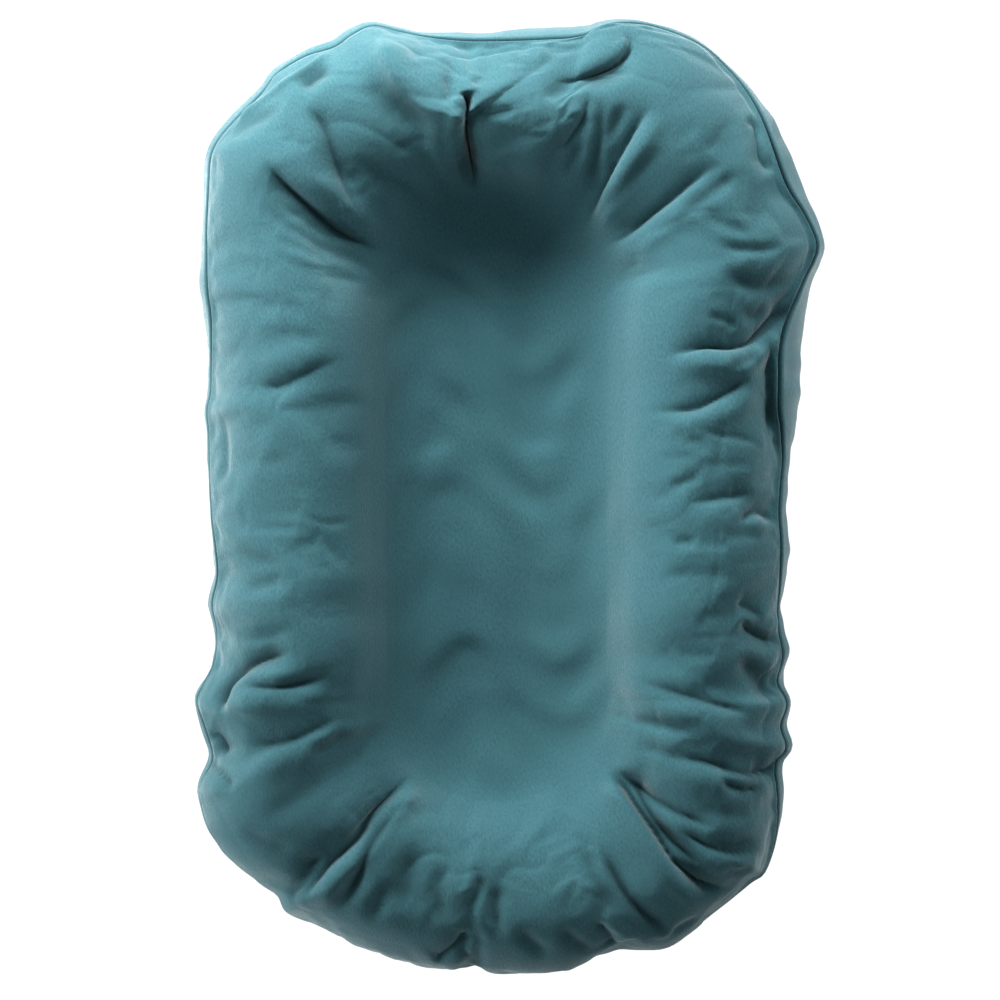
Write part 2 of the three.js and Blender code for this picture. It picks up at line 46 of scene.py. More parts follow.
# How the picture's pixels fall on the lounger. The camera stands straight above.
picture = {
    "pixels": 1000,
    "scale": 0.779 * mm,  # one pixel at the ring's widest line
    "widestHeight": 55 * mm,
    "cameraHeight": 1900 * mm,
    "centre": (-7.4 * mm, -2.3 * mm),  # the point under the middle of the picture
    "foldHeight": 110 * mm,  # where most folds lie
    "seamHeight": 80 * mm,
    "steps": {"outline": 8, "seam": 6, "fold": 5},  # points from one pixel's place to the next
}

# The ring, as the frame has it. Insets are from its widest line, and radii from its spine.
ring = {
    "spineX": -10 * mm,
    "spineHalf": 150 * mm,
    "wellHalf": 85 * mm,
    "loopRadius": 165 * mm,
    "crownInset": 68 * mm,
    "floorInset": 46 * mm,
    "heights": (128 * mm, 124 * mm, 114 * mm),  # crown at the sides, head and foot
    "seamLift": (16, 26, -14),  # degrees up from the widest line, there too
    "equator": 52 * mm,
    "sling": 48 * mm,
    "underside": 9 * mm,
    "innerFoot": 48 * mm,
    "flatEdge": 14 * mm,
    "coverCloth": 1.6 * mm,
    "casingCloth": 1.0 * mm,
    "slingCloth": 1.6 * mm,
    "layerGap": 0.4 * mm,
    "seamGap": 0.3 * mm,
}


# A pixel's place on the lounger: its share of the view grows with its depth below the camera
def planFromPixels(pixels, height):
    pixels = np.asarray(pixels, float)
    widestFall = picture["cameraHeight"] - picture["widestHeight"]
    scale = picture["scale"] * (picture["cameraHeight"] - height) / widestFall
    middle = picture["pixels"] / 2
    x = picture["centre"][0] + (pixels[:, 0] - middle) * scale
    y = picture["centre"][1] - (pixels[:, 1] - middle) * scale
    return np.stack([x, y], axis=1)


# Eases from 0 to 1: three times the square less twice the cube
def smoothStep(t):
    t = np.clip(t, 0, 1)
    return t * t * (3 - 2 * t)


# A hump that is 1 in its middle and dies away as the exponential of a power of the distance
def hump(distance, width, power=2):
    return np.exp(-(np.abs(distance / width) ** power))


# A curve through points: each stretch is the Catmull-Rom cubic of its two ends and their
# neighbours, which a closed curve takes from round its own end.
def curveThrough(points, steps, closed=False):
    points = np.asarray(points, float)
    if closed:
        start = points
        before, after, second = (np.roll(points, shift, 0) for shift in (1, -1, -2))
    else:
        padded = np.concatenate([[2 * points[0] - points[1]], points, [2 * points[-1] - points[-2]]])
        before, start, after, second = padded[:-3], padded[1:-2], padded[2:-1], padded[3:]
    t = (np.arange(steps) / steps)[None, :, None]
    p0, p1, p2, p3 = (p[:, None, :] for p in (before, start, after, second))
    curve = 0.5 * (2 * p1 + (p2 - p0) * t + (2 * p0 - 5 * p1 + 4 * p2 - p3) * t**2
                   + (3 * p1 - p0 - 3 * p2 + p3) * t**3)
    curve = curve.reshape(-1, points.shape[1])
    return curve if closed else np.concatenate([curve, points[-1:]])


# Random values from -1 to 1 at the crossings of a lattice, eased from one to the next. Both
# places run from 0 to 1, and the pattern closes on itself along the first.
def latticeNoise(along, across, cells, seed):
    values = np.random.RandomState(seed).uniform(-1, 1, (cells[0], cells[1] + 2))
    a, b = along * cells[0], np.clip(across, 0, 1) * cells[1]
    i, j = np.floor(a).astype(int), np.floor(b).astype(int)
    s, t = smoothStep(a - i), smoothStep(b - j)
    near, far = i % cells[0], (i + 1) % cells[0]
    low = values[near, j] * (1 - s) + values[far, j] * s
    high = values[near, j + 1] * (1 - s) + values[far, j + 1] * s
    return low * (1 - t) + high * t


# The outline in the picture, clockwise from the middle of the head end
outlinePixels = [
    (500, 33), (580, 30), (600, 24), (623, 20), (655, 25), (700, 44), (733, 73), (762, 107), (786, 146),
    (803, 190), (815, 218), (824, 246), (820, 264), (812, 284), (800, 340), (798, 395), (789, 450),
    (786, 505), (789, 552), (780, 611), (786, 650), (781, 678), (790, 700), (785, 724), (790, 745),
    (780, 762), (780, 800), (775, 838), (764, 871), (750, 882), (716, 910), (670, 943), (620, 947),
    (557, 970), (500, 973), (470, 964), (440, 967), (410, 962), (375, 952), (343, 938), (319, 926),
    (288, 910), (276, 892), (236, 862), (211, 829), (202, 799), (202, 782), (212, 756), (205, 730),
    (196, 700), (202, 684), (214, 661), (217, 632), (212, 602), (215, 575), (212, 542), (210, 500),
    (209, 438), (207, 412), (211, 387), (208, 330), (203, 293), (203, 254), (206, 184), (211, 150),
    (232, 121), (258, 93), (275, 72), (301, 56), (332, 46), (350, 34), (371, 25), (400, 30), (430, 33),
]

# Where the edge seam shows in the picture, in the same order
seamPixels = [
    [(378, 27), (410, 36), (455, 44), (518, 44), (587, 40), (618, 26), (650, 28), (698, 46), (722, 63),
     (749, 97), (761, 126), (773, 170), (786, 194), (800, 218), (818, 240)],
    [(776, 336), (774, 384), (774, 420), (784, 446)],
    [(777, 508), (778, 540), (777, 575), (779, 602)],
    [(779, 642), (780, 672), (778, 700), (785, 726), (778, 752), (769, 772)],
    [(776, 782), (778, 806)],
    [(213, 757), (214, 741), (202, 716)],
    [(214, 590), (220, 572), (219, 555), (215, 540)],
    [(213, 330), (208, 258), (209, 208), (213, 152)],
    [(236, 123), (268, 93), (282, 73), (302, 62)],
]

# The loop that the ring follows: two straight sides and two half circles round the spine's ends
sideRun = 2 * ring["spineHalf"]
arcRun = math.pi * ring["loopRadius"]
loopRun = 2 * (sideRun + arcRun)
headRun = sideRun + arcRun / 2
footRun = -arcRun / 2


# Rays leave the spine square to it on the sides and fan out round its two ends
def rayOf(run):
    at = np.mod(run, loopRun)
    half = ring["spineHalf"]
    places = [at < sideRun, at < sideRun + arcRun, at < 2 * sideRun + arcRun]
    y = np.select(places, [at - half, half + 0 * at, half + sideRun + arcRun - at], -half)
    lastAngle = math.pi + (at - 2 * sideRun - arcRun) / ring["loopRadius"]
    angle = np.select(places, [0 * at, (at - sideRun) / ring["loopRadius"], math.pi + 0 * at], lastAngle)
    return y, np.cos(angle), np.sin(angle)


# The run round the loop, and the distance from the spine, of points seen from above
def runAndReach(plan):
    x, y, half = plan[:, 0] - ring["spineX"], plan[:, 1], ring["spineHalf"]
    past = np.maximum(np.abs(y) - half, 0) * np.sign(y)
    turn = ring["loopRadius"] * np.mod(np.arctan2(past, x), 2 * math.pi)
    sides = np.where(x > 0, y + half, sideRun + arcRun + half - y)
    ends = np.where(y > half, sideRun + turn, 2 * sideRun + turn)
    return np.mod(np.where(np.abs(y) > half, ends, sides), loopRun), np.hypot(x, past)


# A value at the sides that turns into another at the head and at the foot, with the square of
# the ray's share along the lounger
def roundTheRing(values, dy):
    side, head, foot = values
    return side + (np.where(dy > 0, head, foot) - side) * dy**2


# A value at any run, in straight lines between the runs where it is known
def byRun(runs, values):
    order = np.argsort(runs)
    return lambda run: np.interp(np.mod(run, loopRun), runs[order], values[order], period=loopRun)


outlinePlan = planFromPixels(outlinePixels, picture["widestHeight"])
reachAt = byRun(*runAndReach(curveThrough(outlinePlan, picture["steps"]["outline"], closed=True)))

seamReading = {
    "insetShares": (0.01, 0.35),  # least and most inset from the outline, of the crown's
    "plainEvery": 25 * mm,  # spacing of places that the picture doesn't show
    "clearOf": 30 * mm,  # and their least distance from a place that it shows
    "averaged": (-16, -8, 0, 8, 16),  # millimetres along the run over which it is smoothed
}


# The seam's height as an angle round the outer quarter. Where the picture shows the seam, its
# distance from the outline gives the angle, and elsewhere the ring's own lift does.
def seamLifts():
    runs, lifts = [], []
    for stretch in seamPixels:
        shown = curveThrough(planFromPixels(stretch, picture["seamHeight"]), picture["steps"]["seam"])
        run, reach = runAndReach(shown)
        inset = np.clip((reachAt(run) - reach) / ring["crownInset"], *seamReading["insetShares"])
        runs.append(run)
        lifts.append(np.arccos(1 - inset))
    plain = np.arange(0, loopRun, seamReading["plainEvery"])
    apart = np.abs(np.mod(plain[:, None] - np.concatenate(runs) + loopRun / 2, loopRun) - loopRun / 2)
    far = plain[apart.min(1) > seamReading["clearOf"]]
    runs.append(far)
    lifts.append(np.radians(roundTheRing(ring["seamLift"], rayOf(far)[2])))
    return np.concatenate(runs), np.concatenate(lifts)


liftAt = byRun(*seamLifts())


# Sections at runs: each one's ray, its reach, the crown's height and the seam's lift
def sectionsAt(run):
    y, dx, dy = rayOf(run)
    nearby = [liftAt(run + step * mm) for step in seamReading["averaged"]]
    return {"run": np.mod(run, loopRun), "y": y, "dx": dx, "dy": dy, "reach": reachAt(run),
            "height": roundTheRing(ring["heights"], dy), "lift": sum(nearby) / len(nearby)}


# Points of sections at distances from the spine and at heights
def placed(sections, r, z):
    x = ring["spineX"] + sections["dx"] * r
    return np.stack([x, sections["y"] + sections["dy"] * r, z + 0 * r], axis=2)


# The inside of the well: places across the ring, and heights as shares of the way from the
# middle of the sling to the crown. 1 is the crown, 2 the sling's seam and 3 its middle.
wellShares = curveThrough(
    [(0.68, 0.95), (1, 1), (1.32, 0.94), (1.62, 0.74), (1.85, 0.475), (2, 0.3), (2.16, 0.17), (2.38, 0.08),
     (2.72, 0.0), (3.0, 0.0), (3.3, 0.0)], steps=12)


# The top of the ring at places across it: from the seam, 0, to the crown, 1, a quarter of an
# ellipse, and from there down the well's wall to the sling's seam, 2, and the middle, 3.
def topPoints(sections, across):
    a = across[:, None]
    crown = sections["reach"] - ring["crownInset"]
    angle = sections["lift"] + (math.pi / 2 - sections["lift"]) * a
    outerR = crown + ring["crownInset"] * np.cos(angle)
    outerZ = ring["equator"] + (sections["height"] - ring["equator"]) * np.sin(angle)
    wallR = crown + (ring["wellHalf"] - crown) * (a - 1)
    slingR = ring["wellHalf"] * (3 - a)
    drop = np.interp(a, wellShares[:, 0], wellShares[:, 1])
    innerZ = ring["sling"] + (sections["height"] - ring["sling"]) * drop
    r = np.where(a < 1, outerR, np.where(a < 2, wallR, slingR))
    return placed(sections, r, np.where(a < 1, outerZ, innerZ))


# The underside at places across it: from the seam, 0, a quarter of an ellipse to the floor, 1,
# flat on the floor to 2, and up to the raised part at 3
def basePoints(sections, across):
    a = across[:, None]
    floorR = sections["reach"] - ring["floorInset"]
    angle = sections["lift"] - (math.pi / 2 + sections["lift"]) * a
    # above the widest line the base follows the same ellipse as the top
    up = np.sin(angle) > 0
    inset = np.where(up, ring["crownInset"], ring["floorInset"])
    rise = np.where(up, sections["height"] - ring["equator"], ring["equator"])
    outerR = sections["reach"] - inset + inset * np.cos(angle)
    outerZ = ring["equator"] + rise * np.sin(angle)
    innerR = ring["wellHalf"] + ring["innerFoot"]
    flatR = ring["wellHalf"] + ring["flatEdge"]
    r = np.where(a < 1, outerR, np.where(a < 2, floorR + (innerR - floorR) * (a - 1),
                                         innerR + (flatR - innerR) * (a - 2)))
    return placed(sections, r, np.where(a < 1, outerZ, ring["underside"] * smoothStep(a - 2)))


# Upward or inward normals of a grid: the cross product of its steps round the ring and across
def gridNormals(points, closed=True, toSpine=False):
    if closed:
        around = np.roll(points, -1, 1) - np.roll(points, 1, 1)
    else:
        around = np.gradient(points, axis=1)
    normals = np.cross(around, np.gradient(points, axis=0))
    length = np.linalg.norm(normals, axis=2, keepdims=True)
    normals = normals / np.maximum(length, tiny)
    # the cloth is level along the spine, where the two sides meet
    if toSpine:
        normals[-1] = (0, 0, 1)
    return normals


# Steps of length 1 across a grid, from one row towards the next
def gridSteps(points):
    steps = np.gradient(points, axis=0)
    return steps / np.maximum(np.linalg.norm(steps, axis=2, keepdims=True), tiny)


# The cloth laid flat: each section's length from the spine, laid out along its ray
def laidFlat(sections, points, firstReach=0):
    steps = np.linalg.norm(np.diff(points, axis=0), axis=2)
    laid = np.concatenate([steps[::-1].cumsum(0)[::-1], np.zeros((1, points.shape[1]))]) + firstReach
    return placed(sections, laid, 0 * laid)[:, :, :2]


# Faces of a grid of points in rows and columns
def gridFaces(rows, columns, wrapColumns=True, wrapRows=False):
    index = np.arange(rows * columns).reshape(rows, columns)
    if wrapRows:
        index = np.vstack([index, index[:1]])
    if wrapColumns:
        index = np.hstack([index, index[:, :1]])
    corners = [index[:-1, :-1], index[:-1, 1:], index[1:, 1:], index[1:, :-1]]
    return np.stack(corners, axis=2).reshape(-1, 4)


# Faces of a closed shell: a grid, the same grid further in, and rims along its open edges. A
# grid that ends on the spine has no edge there.
def shellFaces(rows, columns, wrapColumns=True, toSpine=False):
    outer = gridFaces(rows, columns, wrapColumns)
    index = np.arange(rows * columns).reshape(rows, columns)
    if wrapColumns:
        index = np.hstack([index, index[:, :1]])
    deep = rows * columns
    edges = [(index[0, 1:], index[0, :-1])]
    if not toSpine:
        edges.append((index[-1, :-1], index[-1, 1:]))
    if not wrapColumns:
        edges += [(index[:-1, 0], index[1:, 0]), (index[1:, -1], index[:-1, -1])]
    rims = [np.stack([a, b, b + deep, a + deep], axis=1) for a, b in edges]
    return np.concatenate([outer, outer[:, ::-1] + deep] + rims)


# Points in the same cell become one. The shift keeps round sizes off the cells' borders.
mergeCell = 0.002 * mm
mergeShift = 0.37


# A mesh from points and faces. Points that coincide become one, and faces lose doubled corners.
# It carries the flat pattern as a UV map, and each point's painted shade as an attribute.
def makeMesh(name, points, faces, flat=None, tucked=None):
    keys = np.round(points / mergeCell + mergeShift).astype(np.int64)
    _, first, number = np.unique(keys, axis=0, return_index=True, return_inverse=True)
    number = number.reshape(-1)
    whole, others = [], []
    for group in faces if isinstance(faces, list) else [faces]:
        corners = number[group]
        doubled = (corners == np.roll(corners, 1, 1)).any(1)
        whole += corners[~doubled].tolist()
        for few in corners[doubled].tolist():
            kept = list(dict.fromkeys(few))
            if len(kept) > 2:
                others.append(kept)
    mesh = bpy.data.meshes.new(name)
    mesh.from_pydata(points[first].tolist(), [], whole + others)
    if flat is not None:
        corners = np.empty(len(mesh.loops), np.int32)
        mesh.loops.foreach_get("vertex_index", corners)
        layer = mesh.uv_layers.new(name="FlatPattern")
        layer.data.foreach_set("uv", flat[first][corners].astype(np.float32).ravel())
    if tucked is not None:
        layer = mesh.attributes.new("tucked", "FLOAT", "POINT")
        layer.data.foreach_set("value", tucked[first].astype(np.float32))
    mesh.polygons.foreach_set("use_smooth", np.full(len(mesh.polygons), True))
    mesh.update()
    piece = bpy.data.objects.new(name, mesh)
    bpy.context.scene.collection.objects.link(piece)
    return piece


# A closed shell between an outer and an inner grid. Turned swaps the two for a panel whose
# outer face looks down.
def shell(name, outer, inner, flat=None, closed=True, toSpine=False, turned=False, tucked=None):
    faces = shellFaces(*outer.shape[:2], closed, toSpine)
    if turned:
        faces = faces[:, ::-1]
    points = np.concatenate([outer.reshape(-1, 3), inner.reshape(-1, 3)])
    if flat is not None:
        flat = np.concatenate([flat.reshape(-1, 2)] * 2)
    if tucked is not None:
        tucked = np.concatenate([tucked.ravel()] * 2)
    return makeMesh(name, points, faces, flat, tucked)


# Gives a piece its body and its material and hides the frame's nodes that it replaces; its slot is not used
def finished(piece, body, slot, material, *nodes):
    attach(piece, body)
    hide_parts(*nodes)
    piece.data.materials.append(material)
    print(piece.name, "made,", len(piece.data.polygons), "faces")
    return piece


# Materials: an sRGB hex value as linear colour
def linearColor(code):
    channels = [int(code[i:i + 2], 16) / 255 for i in (1, 3, 5)]
    return [c / 12.92 if c <= 0.04045 else ((c + 0.055) / 1.055) ** 2.4 for c in channels] + [1]


# Adds a node: its settings by name, its input values by socket, and links from other sockets
def addNode(tree, kind, settings=None, values=None, links=None):
    node = tree.nodes.new(kind)
    for name, value in (settings or {}).items():
        setattr(node, name, value)
    for socket, value in (values or {}).items():
        node.inputs[socket].default_value = value
    for socket, source in (links or {}).items():
        tree.links.new(source, node.inputs[socket])
    return node


# A material with an empty node tree
def newMaterial(name):
    material = bpy.data.materials.new(name)
    material.use_nodes = True
    material.node_tree.nodes.clear()
    return material, material.node_tree


# A wave texture at a scale of 1 draws its bands 2 pi / 20 apart
def bandScale(pitch):
    return 2 * math.pi / (20 * pitch)


# Cloth of every kind here: two colours mixed by a fine pattern, a third laid over it in slow
# patches, and the pattern's relief as bump. A colour mix has its factor at socket 0, its two
# colours at 6 and 7, and its result at output 2.
def clothShader(tree, pattern, patches, colors, relief, finish, tucked=None):
    spread = addNode(tree, "ShaderNodeMapRange", values={"From Min": 0.3, "From Max": 0.7},
                     links={"Value": pattern})
    base = addNode(tree, "ShaderNodeMix", {"data_type": "RGBA"},
                   {6: linearColor(colors["low"]), 7: linearColor(colors["high"])},
                   {0: spread.outputs["Result"]})
    slow = addNode(tree, "ShaderNodeMapRange",
                   values={"From Min": 0.35, "From Max": 0.7, "To Max": colors["share"]},
                   links={"Value": patches})
    dyed = addNode(tree, "ShaderNodeMix", {"data_type": "RGBA"}, {7: linearColor(colors["patch"])},
                   {0: slow.outputs["Result"], 6: base.outputs[2]})
    # painted shade: where a share is given, a dark colour is mixed in by it, darkening folds and grooves
    if tucked:
        dyed = addNode(tree, "ShaderNodeMix", {"data_type": "RGBA"},
                       {7: linearColor(colors["tucked"])}, {0: tucked, 6: dyed.outputs[2]})
    bump = addNode(tree, "ShaderNodeBump",
                   values={"Strength": relief["strength"], "Distance": relief["distance"]},
                   links={"Height": relief["height"]})
    shader = addNode(tree, "ShaderNodeBsdfPrincipled", values=finish,
                     links={"Base Color": dyed.outputs[2], "Normal": bump.outputs["Normal"]})
    addNode(tree, "ShaderNodeOutputMaterial", links={"Surface": shader.outputs["BSDF"]})


# Cotton knit, piece-dyed teal and brushed. Brushing lifts a short nap, which pales the cloth
# where it turns away from the eye and mottles it finely. Painted shade darkens the colour
# towards a deep teal in the folds, in the seam's groove and along the base's parting.
def brushedCottonKnit():
    material, tree = newMaterial("brushedCottonKnit")
    place = addNode(tree, "ShaderNodeTexCoord")
    # tufts of nap, about 0.5 mm by 0.8 mm on the cloth, drawn 1.2 mm by 2 mm to show
    turned = addNode(tree, "ShaderNodeMapping",
                     values={"Rotation": (0, 0, math.radians(52)), "Scale": (1, 0.6, 1)},
                     links={"Vector": place.outputs["UV"]})
    nap = addNode(tree, "ShaderNodeTexNoise", values={"Scale": 1 / (1.8 * mm), "Detail": 5, "Roughness": 0.7},
                  links={"Vector": turned.outputs["Vector"]})
    # the dye takes a little unevenly over about 70 mm
    dye = addNode(tree, "ShaderNodeTexNoise", values={"Scale": 1 / (70 * mm), "Detail": 3, "Roughness": 0.55},
                  links={"Vector": place.outputs["Object"]})
    # the knit's wales stand 1.1 mm apart
    wales = addNode(tree, "ShaderNodeTexWave", {"bands_direction": "X"},
                    {"Scale": bandScale(1.1 * mm), "Distortion": 4, "Detail": 2, "Detail Scale": 0.6},
                    {"Vector": place.outputs["UV"]})
    relief = addNode(tree, "ShaderNodeMath", {"operation": "MULTIPLY_ADD"}, {1: 0.12},
                     {0: wales.outputs["Fac"], 2: nap.outputs["Fac"]})
    # painted shade from the points' attribute takes the colour up to 0.85 of the way to a deep teal
    tucked = addNode(tree, "ShaderNodeAttribute", {"attribute_name": "tucked"})
    depth = addNode(tree, "ShaderNodeMapRange", values={"From Max": 1.0, "To Max": 0.85},
                    links={"Value": tucked.outputs["Fac"]})
    clothShader(tree, nap.outputs["Fac"], dye.outputs["Fac"],
                {"low": "#2b545d", "high": "#416b72", "patch": "#376168", "share": 0.35,
                 "tucked": "#0c2429"},
                {"height": relief.outputs["Value"], "strength": 0.9, "distance": 0.6 * mm},
                {"Roughness": 0.95, "Sheen Weight": 0.6, "Sheen Roughness": 0.4,
                 "Sheen Tint": linearColor("#d6dfe0"), "Specular IOR Level": 0.1}, depth.outputs["Result"])
    return material


# A flat, dry cloth of plain weave, with its threads at a pitch
def plainWeave(name, colors, pitch):
    material, tree = newMaterial(name)
    place = addNode(tree, "ShaderNodeTexCoord")
    threads = [addNode(tree, "ShaderNodeTexWave", {"bands_direction": way},
                       {"Scale": bandScale(pitch)}, {"Vector": place.outputs["UV"]}) for way in ("X", "Y")]
    weave = addNode(tree, "ShaderNodeMath", {"operation": "MULTIPLY"},
                    links={0: threads[0].outputs["Fac"], 1: threads[1].outputs["Fac"]})
    cloud = addNode(tree, "ShaderNodeTexNoise", values={"Scale": 1 / (40 * mm), "Detail": 3},
                    links={"Vector": place.outputs["Object"]})
    clothShader(tree, weave.outputs["Value"], cloud.outputs["Fac"], colors,
                {"height": weave.outputs["Value"], "strength": 0.4, "distance": 0.2 * mm},
                {"Roughness": 0.85, "Sheen Weight": 0.1, "Sheen Roughness": 0.5, "Specular IOR Level": 0.25})
    return material


# Loose polyester fibre: white, soft and full of small tangled wisps, about 6 mm across
def polyesterFibre():
    material, tree = newMaterial("polyesterFibre")
    place = addNode(tree, "ShaderNodeTexCoord")
    wisps = addNode(tree, "ShaderNodeTexNoise",
                    values={"Scale": 1 / (6 * mm), "Detail": 6, "Distortion": 1.6},
                    links={"Vector": place.outputs["Object"]})
    clumps = addNode(tree, "ShaderNodeTexNoise", values={"Scale": 1 / (35 * mm), "Detail": 2},
                     links={"Vector": place.outputs["Object"]})
    clothShader(tree, wisps.outputs["Fac"], clumps.outputs["Fac"],
                {"low": "#e4e3df", "high": "#f6f5f2", "patch": "#ecebe6", "share": 0.5},
                {"height": wisps.outputs["Fac"], "strength": 0.8, "distance": 1.5 * mm},
                {"Roughness": 1.0, "Sheen Weight": 0.3, "Sheen Roughness": 0.6, "Specular IOR Level": 0.1})
    return material


# Nylon monofilament, dyed: smooth and a little translucent, so its gloss is soft
def dyedNylon():
    material, tree = newMaterial("dyedNylon")
    place = addNode(tree, "ShaderNodeTexCoord")
    tint = addNode(tree, "ShaderNodeTexNoise", values={"Scale": 1 / (9 * mm), "Detail": 2},
                   links={"Vector": place.outputs["Object"]})
    color = addNode(tree, "ShaderNodeMix", {"data_type": "RGBA"},
                    {6: linearColor("#3a6a73"), 7: linearColor("#447a83")}, {0: tint.outputs["Fac"]})
    gloss = addNode(tree, "ShaderNodeMapRange", values={"To Min": 0.38, "To Max": 0.52},
                    links={"Value": tint.outputs["Fac"]})
    shader = addNode(tree, "ShaderNodeBsdfPrincipled", values={"IOR": 1.53, "Subsurface Weight": 0.05},
                     links={"Base Color": color.outputs[2], "Roughness": gloss.outputs["Result"]})
    addNode(tree, "ShaderNodeOutputMaterial", links={"Surface": shader.outputs["BSDF"]})
    return material


# Die-cast zinc, nickel plated and tumbled: a satin grey metal with faint scuffs and dull patches
def platedZinc():
    material, tree = newMaterial("platedZinc")
    place = addNode(tree, "ShaderNodeTexCoord")
    scuffs = addNode(tree, "ShaderNodeTexNoise",
                     values={"Scale": 1 / (0.8 * mm), "Detail": 5, "Roughness": 0.7},
                     links={"Vector": place.outputs["Object"]})
    dull = addNode(tree, "ShaderNodeTexNoise", values={"Scale": 1 / (5 * mm), "Detail": 2},
                   links={"Vector": place.outputs["Object"]})
    color = addNode(tree, "ShaderNodeMix", {"data_type": "RGBA"},
                    {6: linearColor("#a9acad"), 7: linearColor("#c3c5c6")}, {0: dull.outputs["Fac"]})
    rough = addNode(tree, "ShaderNodeMapRange", values={"To Min": 0.24, "To Max": 0.44},
                    links={"Value": scuffs.outputs["Fac"]})
    bump = addNode(tree, "ShaderNodeBump", values={"Strength": 0.15, "Distance": 0.05 * mm},
                   links={"Height": scuffs.outputs["Fac"]})
    shader = addNode(tree, "ShaderNodeBsdfPrincipled", values={"Metallic": 1.0},
                     links={"Base Color": color.outputs[2], "Roughness": rough.outputs["Result"],
                            "Normal": bump.outputs["Normal"]})
    addNode(tree, "ShaderNodeOutputMaterial", links={"Surface": shader.outputs["BSDF"]})
    return material


knit = brushedCottonKnit()
# threads 0.3 mm apart in the cloth and the tapes, drawn at 0.7 to 0.9 mm to show
casingCloth = plainWeave("polycottonPlainWeave",
                         {"low": "#d9d4c8", "high": "#f1ede4", "patch": "#e6e1d5", "share": 0.4}, 0.9 * mm)
bindingTape = plainWeave("cottonBindingTape",
                         {"low": "#c8c2b4", "high": "#e0dacd", "patch": "#d4cebf", "share": 0.4}, 0.7 * mm)
zipTapeCloth = plainWeave("polyesterZipTape",
                          {"low": "#34626b", "high": "#4a818a", "patch": "#3d727b", "share": 0.3}, 0.8 * mm)
fibre = polyesterFibre()
nylon = dyedNylon()
zinc = platedZinc()
print("materials made")


# Folds of the cover, each along a line of pixels, with its sizes in millimetres. A crease has a
# crisp bottom: depth is how far its valley goes in, sharp and broad are the widths of its two
# sides, with the sharp one on the left of the line as it runs in the picture, ridge is the share
# by which the cloth beside the sharp side stands up, lap pushes that ridge over the valley, and
# fade is the share of the line over which it comes and goes at its two ends.
def crease(pixels, depth, sharp, broad, ridge=0.35, lap=0.0, fade=(0.3, 0.3)):
    return {"pixels": pixels, "depth": depth * mm, "sharp": sharp * mm, "broad": broad * mm,
            "powers": (1.2, 0.95), "ridge": ridge, "lap": lap * mm, "fade": fade}


# A dent is soft and the same on both sides. A negative depth makes it a ridge.
def dent(pixels, depth, width, fade=(0.35, 0.35)):
    return {"pixels": pixels, "depth": depth * mm, "sharp": width * mm, "broad": width * mm,
            "powers": (2, 2), "ridge": 0, "lap": 0, "fade": fade}


headLeft = [
    crease([(262, 162), (275, 174), (290, 187), (307, 201), (322, 213), (340, 227), (358, 238), (378, 248),
            (398, 254)], 11, 4.5, 26, 0.35, 3.5, (0.3, 0.35)),
    dent([(262, 215), (300, 232), (345, 255), (385, 270)], 3, 7),
    dent([(275, 202), (310, 222), (350, 246)], 2.5, 5),
    dent([(268, 236), (308, 252), (345, 268)], 1.5, 5),
    crease([(372, 224), (356, 208), (346, 185), (338, 163), (330, 140), (322, 126), (306, 110)],
           5.5, 5, 15, 0.2, 0.5, (0.45, 0.2)),
    dent([(283, 139), (318, 152)], 1.5, 5),
    dent([(332, 64), (314, 78), (298, 94)], 6, 7.5),
    dent([(226, 142), (252, 122), (288, 110)], 3, 7),
    dent([(236, 121), (262, 101), (284, 87), (304, 72), (330, 50)], -1.8, 2.2, (0.1, 0.1)),
    crease([(466, 128), (458, 120), (442, 116), (425, 111), (409, 101), (398, 88), (389, 71), (382, 50),
            (374, 36)], -9, 6.5, 30, 0, 0, (0.05, 0.2)),
    dent([(364, 72), (384, 98), (408, 118), (440, 133)], 4, 12),
    dent([(400, 66), (428, 55), (455, 50)], 1.2, 4),
    dent([(404, 76), (436, 70), (452, 76)], 1.0, 4),
    dent([(283, 268), (330, 276), (375, 282)], 1.2, 7),
]
headMiddle = [
    crease([(484, 212), (477, 186), (470, 163), (466, 145), (466, 125), (467, 108), (464, 96)],
           17, 2.4, 3.6, 0.1, 2, (0.35, 0.05)),
    dent([(482, 214), (474, 185), (468, 158), (466, 132)], 5, 12, (0.3, 0.4)),
    dent([(450, 76), (449, 92), (455, 108)], 2.2, 4.5),
    dent([(480, 76), (474, 92)], 1.5, 4),
    crease([(473, 116), (488, 119), (505, 115), (526, 112)], 2.5, 3, 9, 0.15, 0.5, (0.15, 0.5)),
    dent([(500, 122), (530, 127), (558, 120)], 1.2, 8),
    dent([(513, 86), (534, 66), (562, 54)], 2, 5),
    dent([(538, 46), (560, 50), (584, 46)], 1.5, 3),
    dent([(536, 102), (556, 92), (578, 82)], 2, 6),
]
